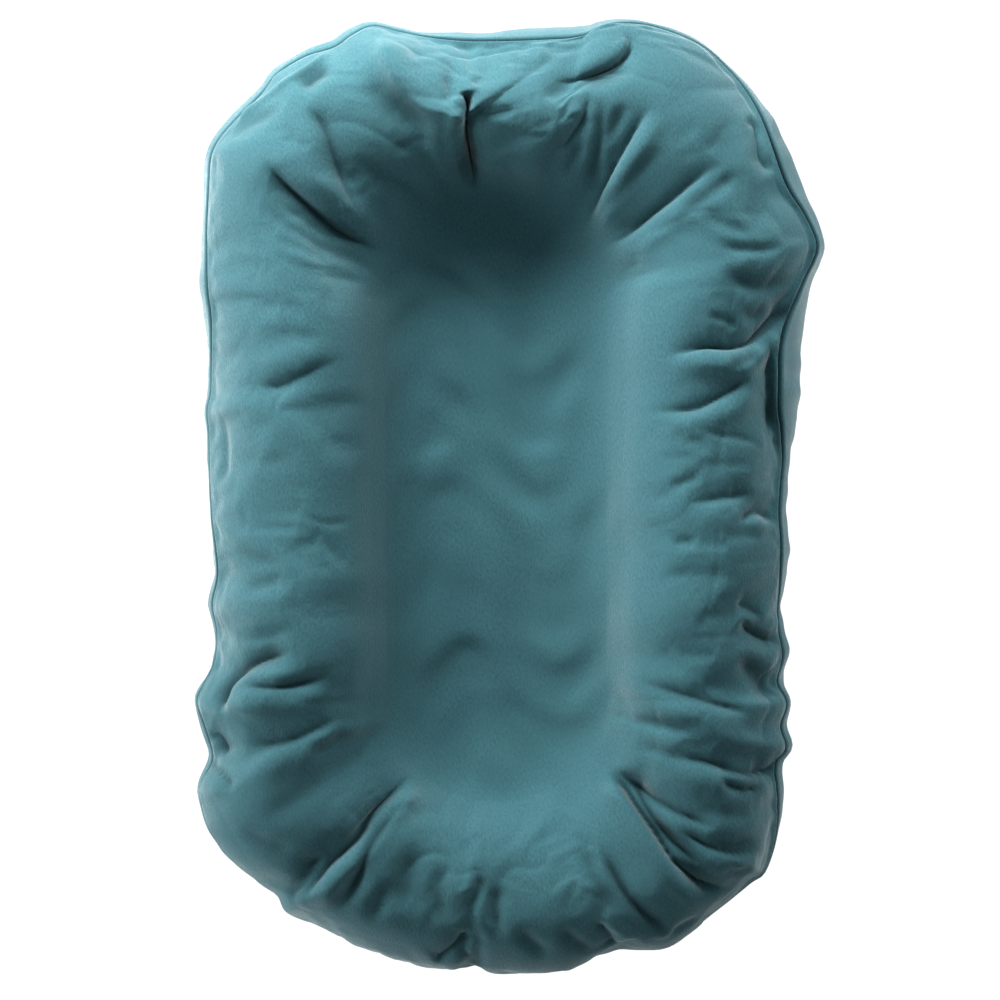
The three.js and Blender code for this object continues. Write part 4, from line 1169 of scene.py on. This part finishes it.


# One half of the base panel: its outer and inner grid, its flat pattern and its painted shade in
# the groove and along the parting. Past the raised part, at 3, its rows run level in to the slot.
def baseSurface(side):
    sections = baseSections(side)
    across = rowsAcross(*base["rows"])
    share = (np.arange(1, base["flatRows"] + 1) / base["flatRows"])[:, None]
    flatR = ring["wellHalf"] + ring["flatEdge"]
    slotR = flatR + (slotReach(sections) - flatR) * share
    flatPart = placed(sections, slotR, ring["underside"] + 0 * share)
    rest = np.concatenate([basePoints(sections, across), flatPart])
    normals = -gridNormals(rest, closed=False)
    a = np.concatenate([across, 3 + share[:, 0]])[:, None]
    move = baseWrinkles(sections, a) + lipRise(a)
    # both edges of the parting turn in
    fromParting = np.abs(rest[:, :, 0] - ring["spineX"])
    start, over = base["parted"]
    parted = smoothStep((a - start) / over)
    depth, width = base["turnIn"]
    turnIn = depth * hump(fromParting, width) * parted
    shift = lipShift(a[:, 0], rest)
    points = rest + normals * (move - turnIn)[:, :, None] + shift
    inner = rest + normals * (move - ring["coverCloth"])[:, :, None] + shift
    points[-1, :, 2] += base["slotLift"]
    points[:, :, 2] = np.maximum(points[:, :, 2], 0)
    for face in (points, inner):
        away = np.maximum(side * (face[:, :, 0] - ring["spineX"]), base["partingGap"])
        away[:, [0, -1]] = base["partingGap"]
        face[:, :, 0] = ring["spineX"] + side * away
    flat = laidFlat(sections, rest, float(slotReach(sections).min()))
    # painted shade: the seam's groove, and the parting's turned-in edges
    return points, inner, flat, np.maximum(grooveShade(a), hump(fromParting, base["shadeWidth"]) * parted)


for sideName, side in (("Right", 1), ("Left", -1)):
    baseOuter, baseInner, baseFlat, basePaintedShade = baseSurface(side)
    baseHalf = shell("coverBase" + sideName, baseOuter, baseInner, baseFlat, closed=False, turned=True,
                     tucked=basePaintedShade)
    finished(baseHalf, "lounger", "cover_knit", knit, "cover_base_" + sideName.lower())

# Inner casing, filling and sling. Each layer hugs the one outside it, and lies lower where the
# cover's folds press it in.
inside = {
    "halfSections": 90,
    "topRows": (13, 14),  # to the crown, and from there to the sling's seam
    "underRows": (14, 8, 8),  # down to the floor, along it, and up to the sling's seam
    "pressedCells": 4,  # neighbours over which the cover's pressing is spread
    "edgeSeamHalf": 1.0 * mm,
    "slingSeam": 1.8 * mm,
    "slingStep": 0.03,  # places across, beside the sling's seam, that give its directions
    "seamDepth": 3 * mm,
    "baseSlack": 1.2 * mm,  # room for the base panel's wrinkles
    "slackFrom": 0.05,  # place across where that room is full
}
casingDepth = ring["coverCloth"] + ring["layerGap"]
fillDepth = casingDepth + ring["casingCloth"] + ring["layerGap"]
pressed = leastNearby(lowHeight[lipCount:], inside["pressedCells"])
pressed = np.minimum(np.vstack([np.repeat(pressed[:1], lipCount, 0), pressed]), 0)


# How far the cover presses in at places round and across the ring, and the seam with it
def pressedAt(sections, across):
    j = np.interp(across, coverAcross, np.arange(len(coverAcross)))[:, None]
    columns = pressed.shape[1]
    i = (np.mod(sections["run"] - footRun, loopRun) / loopRun * columns)[None]
    j0, i0 = np.minimum(j.astype(int), len(coverAcross) - 2), i.astype(int) % columns
    t, s = j - j0, i - i.astype(int)
    i1 = (i0 + 1) % columns
    low = pressed[j0, i0] * (1 - s) + pressed[j0, i1] * s
    high = pressed[j0 + 1, i0] * (1 - s) + pressed[j0 + 1, i1] * s
    return low * (1 - t) + high * t - seamPress(across)


# How far the lip presses in, as the exponential of the square of the distance from the seam
def seamPress(across):
    return (seamLip["press"] * hump(across * quarter, seamLip["pressWidth"]))[:, None]


topAcross = np.concatenate([np.linspace(0, 1, inside["topRows"][0], endpoint=False),
                            np.linspace(1, 2, inside["topRows"][1])])


# A layer of the top at a depth below the cover, short of its two seams by gaps. Closed says
# that its sections go all round the ring.
def topLayer(sections, depth, edgeGap, slingGap, closed=True):
    rest = topPoints(sections, topAcross)
    steps = gridSteps(rest)
    points = rest + gridNormals(rest, closed) * (pressedAt(sections, topAcross) - depth)[:, :, None]
    points[0] += steps[0] * edgeGap
    points[-1] -= steps[-1] * slingGap
    return points


# The underside of the ring, from its edge seam round to the floor, along it, and up the inside
# of the ring in a quarter of an ellipse to just under the sling's seam
def underLayer(sections, depth, edgeGap, upTo=1.0, closed=True):
    outerRows, floorRows, footRows = inside["underRows"]
    across = np.concatenate([np.linspace(0, 1, outerRows), np.linspace(1, 2, floorRows)[1:]])
    rest = basePoints(sections, across)
    eased = inside["baseSlack"] * smoothStep(across / inside["slackFrom"])[:, None] + seamPress(across)
    outer = rest + gridNormals(rest, closed) * (depth + eased)[:, :, None]
    outer[0] += gridSteps(rest)[0] * edgeGap
    sling = topPoints(sections, 2 + inside["slingStep"] * np.array([-1, 0, 1]))
    rim = sling[1] - gridNormals(sling, closed)[1] * (casingDepth + inside["seamDepth"] + ring["seamGap"])
    rimReach = np.linalg.norm((rim - placed(sections, 0 * sections["run"][None], 0)[0])[:, :2], axis=1)
    footReach = ring["wellHalf"] + ring["innerFoot"]
    angle = (np.linspace(0, upTo, footRows)[1:] * math.pi / 2)[:, None]
    further, lowest = depth - casingDepth, depth + inside["baseSlack"]
    r = footReach - (footReach - rimReach - further) * np.sin(angle)
    z = lowest + (rim[:, 2] - lowest) * (1 - np.cos(angle))
    return np.concatenate([outer, placed(sections, r, z)])


insideSections = sectionsAt(sectionRuns(inside["halfSections"]))
seamEdge = inside["edgeSeamHalf"] + ring["seamGap"]
casingSheet = topLayer(insideSections, casingDepth, seamEdge, inside["slingSeam"])
casingTop = shell("casingTop", casingSheet,
                  topLayer(insideSections, casingDepth + ring["casingCloth"], seamEdge, inside["slingSeam"]),
                  laidFlat(insideSections, casingSheet, ring["wellHalf"]))
finished(casingTop, "lounger", "casing_cloth", casingCloth, "casing_top")

casingUnder = underLayer(insideSections, casingDepth, seamEdge)
casingBase = shell("casingBase", casingUnder,
                   underLayer(insideSections, casingDepth + ring["casingCloth"], seamEdge),
                   laidFlat(insideSections, casingUnder, ring["wellHalf"]), turned=True)
finished(casingBase, "lounger", "casing_cloth", casingCloth, "casing_base")

edgeBinding = {"across": 0, "depth": casingDepth + seamLip["press"] + 0.5 * mm,
               "radii": (inside["edgeSeamHalf"], 0.5 * mm), "sides": 8, "waver": 0.1 * mm, "seed": 32}
casingEdgeSeam = bead("casingEdgeSeam", insideSections, **edgeBinding)
finished(casingEdgeSeam, "lounger", "seam_binding", bindingTape, "casing_edge_seam")
slingBinding = {"across": 2, "depth": casingDepth + 1.5 * mm, "radii": (1.5 * mm, 1.5 * mm),
                "sides": 12, "waver": 0.1 * mm, "seed": 33}
slingSeam = bead("slingSeam", insideSections, **slingBinding)
finished(slingSeam, "lounger", "seam_binding", bindingTape, "sling_seam")

quilt = {"square": 32 * mm, "puff": 1.1 * mm, "power": 0.5, "rows": 26, "halfSections": 180}


# Sling: doubled cloth across the well, quilted in slanting squares. It dips at their lines by
# the power of the product of two sines.
def makeSling():
    sections = sectionsAt(sectionRuns(quilt["halfSections"]))
    rest = topPoints(sections, np.linspace(2.0, 3.0, quilt["rows"]))
    normals = gridNormals(rest, toSpine=True)
    rest[0] += gridSteps(rest)[0] * inside["slingSeam"]
    u, v = rest[:, :, 0] + rest[:, :, 1], rest[:, :, 0] - rest[:, :, 1]
    waves = np.sin(math.pi * u / quilt["square"]) * np.sin(math.pi * v / quilt["square"])
    lines = np.abs(waves) ** quilt["power"]
    outer = rest - normals * (casingDepth + quilt["puff"] * (1 - lines))[:, :, None]
    inner = rest - normals * (casingDepth + ring["slingCloth"] + quilt["puff"] * lines)[:, :, None]
    return shell("slingPanel", outer, inner, laidFlat(sections, rest), toSpine=True)


slingPanel = finished(makeSling(), "lounger", "casing_cloth", casingCloth, "sling_panel")


# Rows of a grid, so many of them, evenly along it
def rowsOf(points, count):
    place = np.linspace(0, len(points) - 1, count)
    low = np.minimum(place.astype(int), len(points) - 2)
    share = (place - low)[:, None, None]
    return points[low] * (1 - share) + points[low + 1] * share


filling = {
    "runs": {"Right": (0, sideRun, 33), "Head": (sideRun, sideRun + arcRun, 57),
             "Left": (sideRun + arcRun, 2 * sideRun + arcRun, 33),
             "Foot": (2 * sideRun + arcRun, loopRun, 57)},  # from, to, and its sections
    "rows": 30,
    "upTo": 0.86,  # share of the way up the inside of the ring
    "gap": 0.15 * mm,  # at either end of a run
    "lump": 0.6 * mm,
    "lumpCells": (60, 60),
    "seed": 51,
}


# Filling: a run of loose fibre between the casing's sheets, lumpy where nothing presses. The
# runs meet at the ends of the straight sides.
def makeFill(place):
    first, last, count = filling["runs"][place]
    sections = sectionsAt(np.linspace(first, last, count))
    upper = topLayer(sections, fillDepth, 0, inside["slingSeam"] + ring["casingCloth"], closed=False)
    lower = underLayer(sections, fillDepth, 0, filling["upTo"], closed=False)
    seam = (upper[0] + lower[0]) / 2
    upper[0], lower[0] = seam, seam
    upper, lower = rowsOf(upper, filling["rows"]), rowsOf(lower, filling["rows"])
    for rows, sign in ((upper, -1), (lower, 1)):
        lumps = latticeNoise(rows[:, :, 1] % 1, rows[:, :, 0] + 0.5, filling["lumpCells"], filling["seed"])
        rows[1:-1, 1:-1, 2] += (sign * filling["lump"] * (1 + lumps))[1:-1, 1:-1]
    for end, other in ((0, 1), (-1, -2)):
        for rows in (upper, lower):
            inwards = np.sign(rows[:, other, 1].mean() - rows[:, end, 1].mean())
            rows[:, end, 1] += filling["gap"] * inwards
    piece = shell("fill" + place, upper, lower, closed=False)
    finished(piece, "lounger", "fibre_fill", fibre, "fill_" + place.lower())


for place in filling["runs"]:
    makeFill(place)

# The zip, in the slot of the base panel. Offsets are from its line, on either side.
closure = {
    "tape": {"offsets": (0.8 * mm, 15.8 * mm), "half": 240 * mm, "heights": (10.9 * mm, 11.5 * mm),
             "columns": 13, "stations": 161, "rib": 0.12 * mm, "ribs": (4.2 * mm, 14.6 * mm),
             "ribWidth": 0.9 * mm},
    "coil": {"offset": 2.0 * mm, "height": 9.3 * mm, "radii": (0.95 * mm, 1.05 * mm), "wire": 0.25 * mm,
             "half": 225.4 * mm, "turns": 376, "steps": 10, "sides": 5},
    "stops": {"zip_top_stop_left": ((-4.2, 226, 8), (-0.8, 229, 10.6)),
              "zip_top_stop_right": ((0.8, 226, 8), (4.2, 229, 10.6)),
              "zip_bottom_stop": ((-4.2, -229, 8), (4.2, -226, 10.6))},
    "stopBevel": (0.5 * mm, 3),  # width and segments
    "stitch": {"offset": 9.3 * mm, "half": 222 * mm, "pitch": 3.0 * mm, "length": 2.3 * mm,
               "radius": 0.27 * mm, "taper": 0.96, "rows": 5, "sides": 6},
}


# A woven tape: flat, thinned by a hump along its coil's edge and along its outer edge
def zipTape(side):
    tape = closure["tape"]
    offset = np.linspace(*tape["offsets"], tape["columns"])[:, None]
    y = np.linspace(-tape["half"], tape["half"], tape["stations"])[None]
    x = ring["spineX"] + side * offset + 0 * y
    rib = tape["rib"] * sum(hump(offset - at, tape["ribWidth"]) for at in tape["ribs"]) + 0 * y
    lower = np.stack([x, y + 0 * offset, tape["heights"][0] + rib], axis=2)
    upper = np.stack([x, y + 0 * offset, tape["heights"][1] - rib], axis=2)
    flat = np.stack([offset + 0 * y, y + 0 * offset], axis=2)
    pair = (lower, upper) if side > 0 else (upper, lower)
    return pair, flat


# A coil: nylon wire wound along the tape's edge. A circle follows a helix whose loops are
# ovals, a little taller than they are wide.
def zipCoil(side):
    coil = closure["coil"]
    turn = np.arange(coil["turns"] * coil["steps"] + 1) / coil["steps"] * 2 * math.pi
    radial = np.stack([side * np.cos(turn), 0 * turn, np.sin(turn)], axis=1)
    centre = np.stack([ring["spineX"] + side * (coil["offset"] + coil["radii"][0] * np.cos(turn)),
                       np.linspace(-coil["half"], coil["half"], len(turn)),
                       coil["height"] + coil["radii"][1] * np.sin(turn)], axis=1)
    along = np.gradient(centre, axis=0)
    across = np.cross(along, radial)
    across /= np.linalg.norm(across, axis=1, keepdims=True)
    angle = (np.arange(coil["sides"]) / coil["sides"] * 2 * math.pi)[:, None, None]
    points = centre + coil["wire"] * (radial * np.cos(angle) + across * np.sin(angle))
    count = len(turn)
    walls = gridFaces(coil["sides"], count, wrapColumns=False, wrapRows=True)
    ends = np.arange(coil["sides"])[None] * count
    return points.reshape(-1, 3), [walls, ends, ends[:, ::-1] + count - 1]


# Stitches that hold tape and base panel together: short raised bars in a row, each a string
# of rings that narrow as an ellipse towards its ends
def zipStitches():
    stitch = closure["stitch"]
    rows, sides = stitch["rows"], stitch["sides"]
    place = np.linspace(-1, 1, rows)
    thickness = stitch["radius"] * np.sqrt(1 - (stitch["taper"] * place) ** 2)
    angle = np.arange(sides) / sides * 2 * math.pi
    shape = np.stack([thickness[:, None] * np.cos(angle), stitch["length"] / 2 * place[:, None] + 0 * angle,
                      thickness[:, None] * np.sin(angle)], axis=2).reshape(-1, 3)
    y = np.arange(-stitch["half"], stitch["half"], stitch["pitch"])
    offsets = [ring["spineX"] + side * stitch["offset"] + 0 * y for side in (-1, 1)]
    centres = np.concatenate([np.stack([x, y, ring["underside"] + 0 * y], axis=1) for x in offsets])
    points = (centres[:, None, :] + shape[None]).reshape(-1, 3)
    start = (np.arange(len(centres)) * rows * sides)[:, None, None]
    walls = (gridFaces(rows, sides)[None] + start).reshape(-1, 4)
    ends = [(np.arange(sides)[None, None, ::-1] + start).reshape(-1, sides),
            (np.arange(sides)[None, None] + (rows - 1) * sides + start).reshape(-1, sides)]
    return points, [walls] + ends


# A stop: a small block with rounded edges, clamped over the coil's end
def makeStop(node):
    low, high = (np.array(corner) * mm for corner in closure["stops"][node])
    corners = np.array([(x, y, z) for x in (0, 1) for y in (0, 1) for z in (0, 1)])
    points = low + (high - low) * corners + (ring["spineX"], 0, 0)
    sides = [(0, 1, 3, 2), (4, 6, 7, 5), (0, 4, 5, 1), (2, 3, 7, 6), (0, 2, 6, 4), (1, 5, 7, 3)]
    name = "".join(part.capitalize() for part in node.split("_"))
    stop = makeMesh(name[0].lower() + name[1:], points, np.array(sides))
    bevel = stop.modifiers.new("roundedEdges", "BEVEL")
    bevel.width, bevel.segments = closure["stopBevel"]
    return finished(stop, "lounger", "zip_metal", zinc, node)


for sideName, side in (("Right", 1), ("Left", -1)):
    tapePair, tapeFlat = zipTape(side)
    tape = shell("zipTape" + sideName, *tapePair, tapeFlat, closed=False)
    finished(tape, "lounger", "zip_tape", zipTapeCloth, "zip_tape_" + sideName.lower())
    finished(makeMesh("zipCoil" + sideName, *zipCoil(side)), "lounger", "zip_nylon", nylon,
             "zip_coil_" + sideName.lower())
for node in closure["stops"]:
    makeStop(node)
stitches = makeMesh("zipStitches", *zipStitches())
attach(stitches, "lounger")
stitches.data.materials.append(zipTapeCloth)
for node in ("zip_slider", "zip_pull"):
    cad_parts[node].data.materials.clear()
    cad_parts[node].data.materials.append(zinc)
print("zip made")

# Camera, straight above
cameraData = bpy.data.cameras.new("camera")
camera = bpy.data.objects.new("camera", cameraData)
bpy.context.scene.collection.objects.link(camera)
camera.location = (*picture["centre"], picture["cameraHeight"])
halfView = picture["pixels"] / 2 * picture["scale"]
cameraData.sensor_width = 36
cameraData.lens = cameraData.sensor_width / 2 * (picture["cameraHeight"] - picture["widestHeight"]) / halfView
bpy.context.scene.camera = camera

# Floor: pale and matt. The camera sees it nearly white, and it still takes the shadow. Its
# bounce lights the ring's outer slopes, and its glow is what the camera sees.
ground = {"half": 6, "color": "#f2f2f2", "bounce": 0.4, "glow": 1.1, "seen": 0.88}
white = linearColor("#ffffff")
floorCorners = [(x * ground["half"], y * ground["half"], 0) for x, y in ((-1, -1), (1, -1), (1, 1), (-1, 1))]
floorMesh = bpy.data.meshes.new("floor")
floorMesh.from_pydata(floorCorners, [], [(0, 1, 2, 3)])
floor = bpy.data.objects.new("floor", floorMesh)
bpy.context.scene.collection.objects.link(floor)


# What the camera, mirrors and glass see directly gets a share, and all else none
def seenShare(tree, share):
    path = addNode(tree, "ShaderNodeLightPath")
    seen = addNode(tree, "ShaderNodeMath", {"operation": "MAXIMUM"},
                   links={0: path.outputs["Is Camera Ray"], 1: path.outputs["Is Glossy Ray"]})
    seen = addNode(tree, "ShaderNodeMath", {"operation": "MAXIMUM"},
                   links={0: seen.outputs["Value"], 1: path.outputs["Is Transmission Ray"]})
    return addNode(tree, "ShaderNodeMath", {"operation": "MULTIPLY"}, {1: share}, {0: seen.outputs["Value"]})


# Matt pale paint: it takes shadow, and sends up the light of a bright room
def paleFloor():
    material, tree = newMaterial("paleFloor")
    share = seenShare(tree, ground["seen"])
    matt = addNode(tree, "ShaderNodeBsdfDiffuse", values={"Color": linearColor(ground["color"])})
    bounce = addNode(tree, "ShaderNodeEmission", values={"Color": white, "Strength": ground["bounce"]})
    lit = addNode(tree, "ShaderNodeAddShader", links={0: matt.outputs["BSDF"], 1: bounce.outputs["Emission"]})
    glow = addNode(tree, "ShaderNodeEmission", values={"Color": white, "Strength": ground["glow"]})
    both = addNode(tree, "ShaderNodeMixShader", links={0: share.outputs["Value"], 1: lit.outputs["Shader"],
                                                       2: glow.outputs["Emission"]})
    addNode(tree, "ShaderNodeOutputMaterial", links={"Surface": both.outputs["Shader"]})
    return material


floorMesh.materials.append(paleFloor())

# Light: low and soft, as from windows. A narrow one stands beyond the head end, a little to the
# left, a wide one low on the left, and another beyond the head end on the right. Each lamp has
# its place, the diameter of its disk, its power in watts and the degrees it spreads over.
lighting = {
    "surround": 0.27,
    "aim": (-0.06, 0.22, 0.1),
    "lamps": {"headWindow": ((-0.45, 1.0, 0.47), 0.45, 5.1, 65),
              "leftWindow": ((-1.4, -0.3, 0.3), 0.7, 21, 180),
              "rightWindow": ((0.85, 1.0, 0.42), 0.7, 14, 180)},
}
world = bpy.data.worlds.new("surround")
bpy.context.scene.world = world
world.use_nodes = True
air = world.node_tree
air.nodes.clear()
dim = addNode(air, "ShaderNodeBackground", values={"Color": white, "Strength": lighting["surround"]})
bright = addNode(air, "ShaderNodeBackground", values={"Color": white, "Strength": 1.0})
seenWorld = addNode(air, "ShaderNodeMixShader",
                    links={0: seenShare(air, 1.0).outputs["Value"], 1: dim.outputs["Background"],
                           2: bright.outputs["Background"]})
addNode(air, "ShaderNodeOutputWorld", links={"Surface": seenWorld.outputs["Shader"]})

for name, (place, size, power, spread) in lighting["lamps"].items():
    lamp = bpy.data.lights.new(name, "AREA")
    lamp.shape = "DISK"
    lamp.size = size
    lamp.energy = power
    lamp.spread = math.radians(spread)
    holder = bpy.data.objects.new(name, lamp)
    bpy.context.scene.collection.objects.link(holder)
    holder.location = place
    holder.rotation_mode = "QUATERNION"
    holder.rotation_quaternion = (Vector(lighting["aim"]) - Vector(place)).to_track_quat("-Z", "Y")

bpy.context.scene.view_settings.view_transform = "Standard"
print("camera, floor and light made")
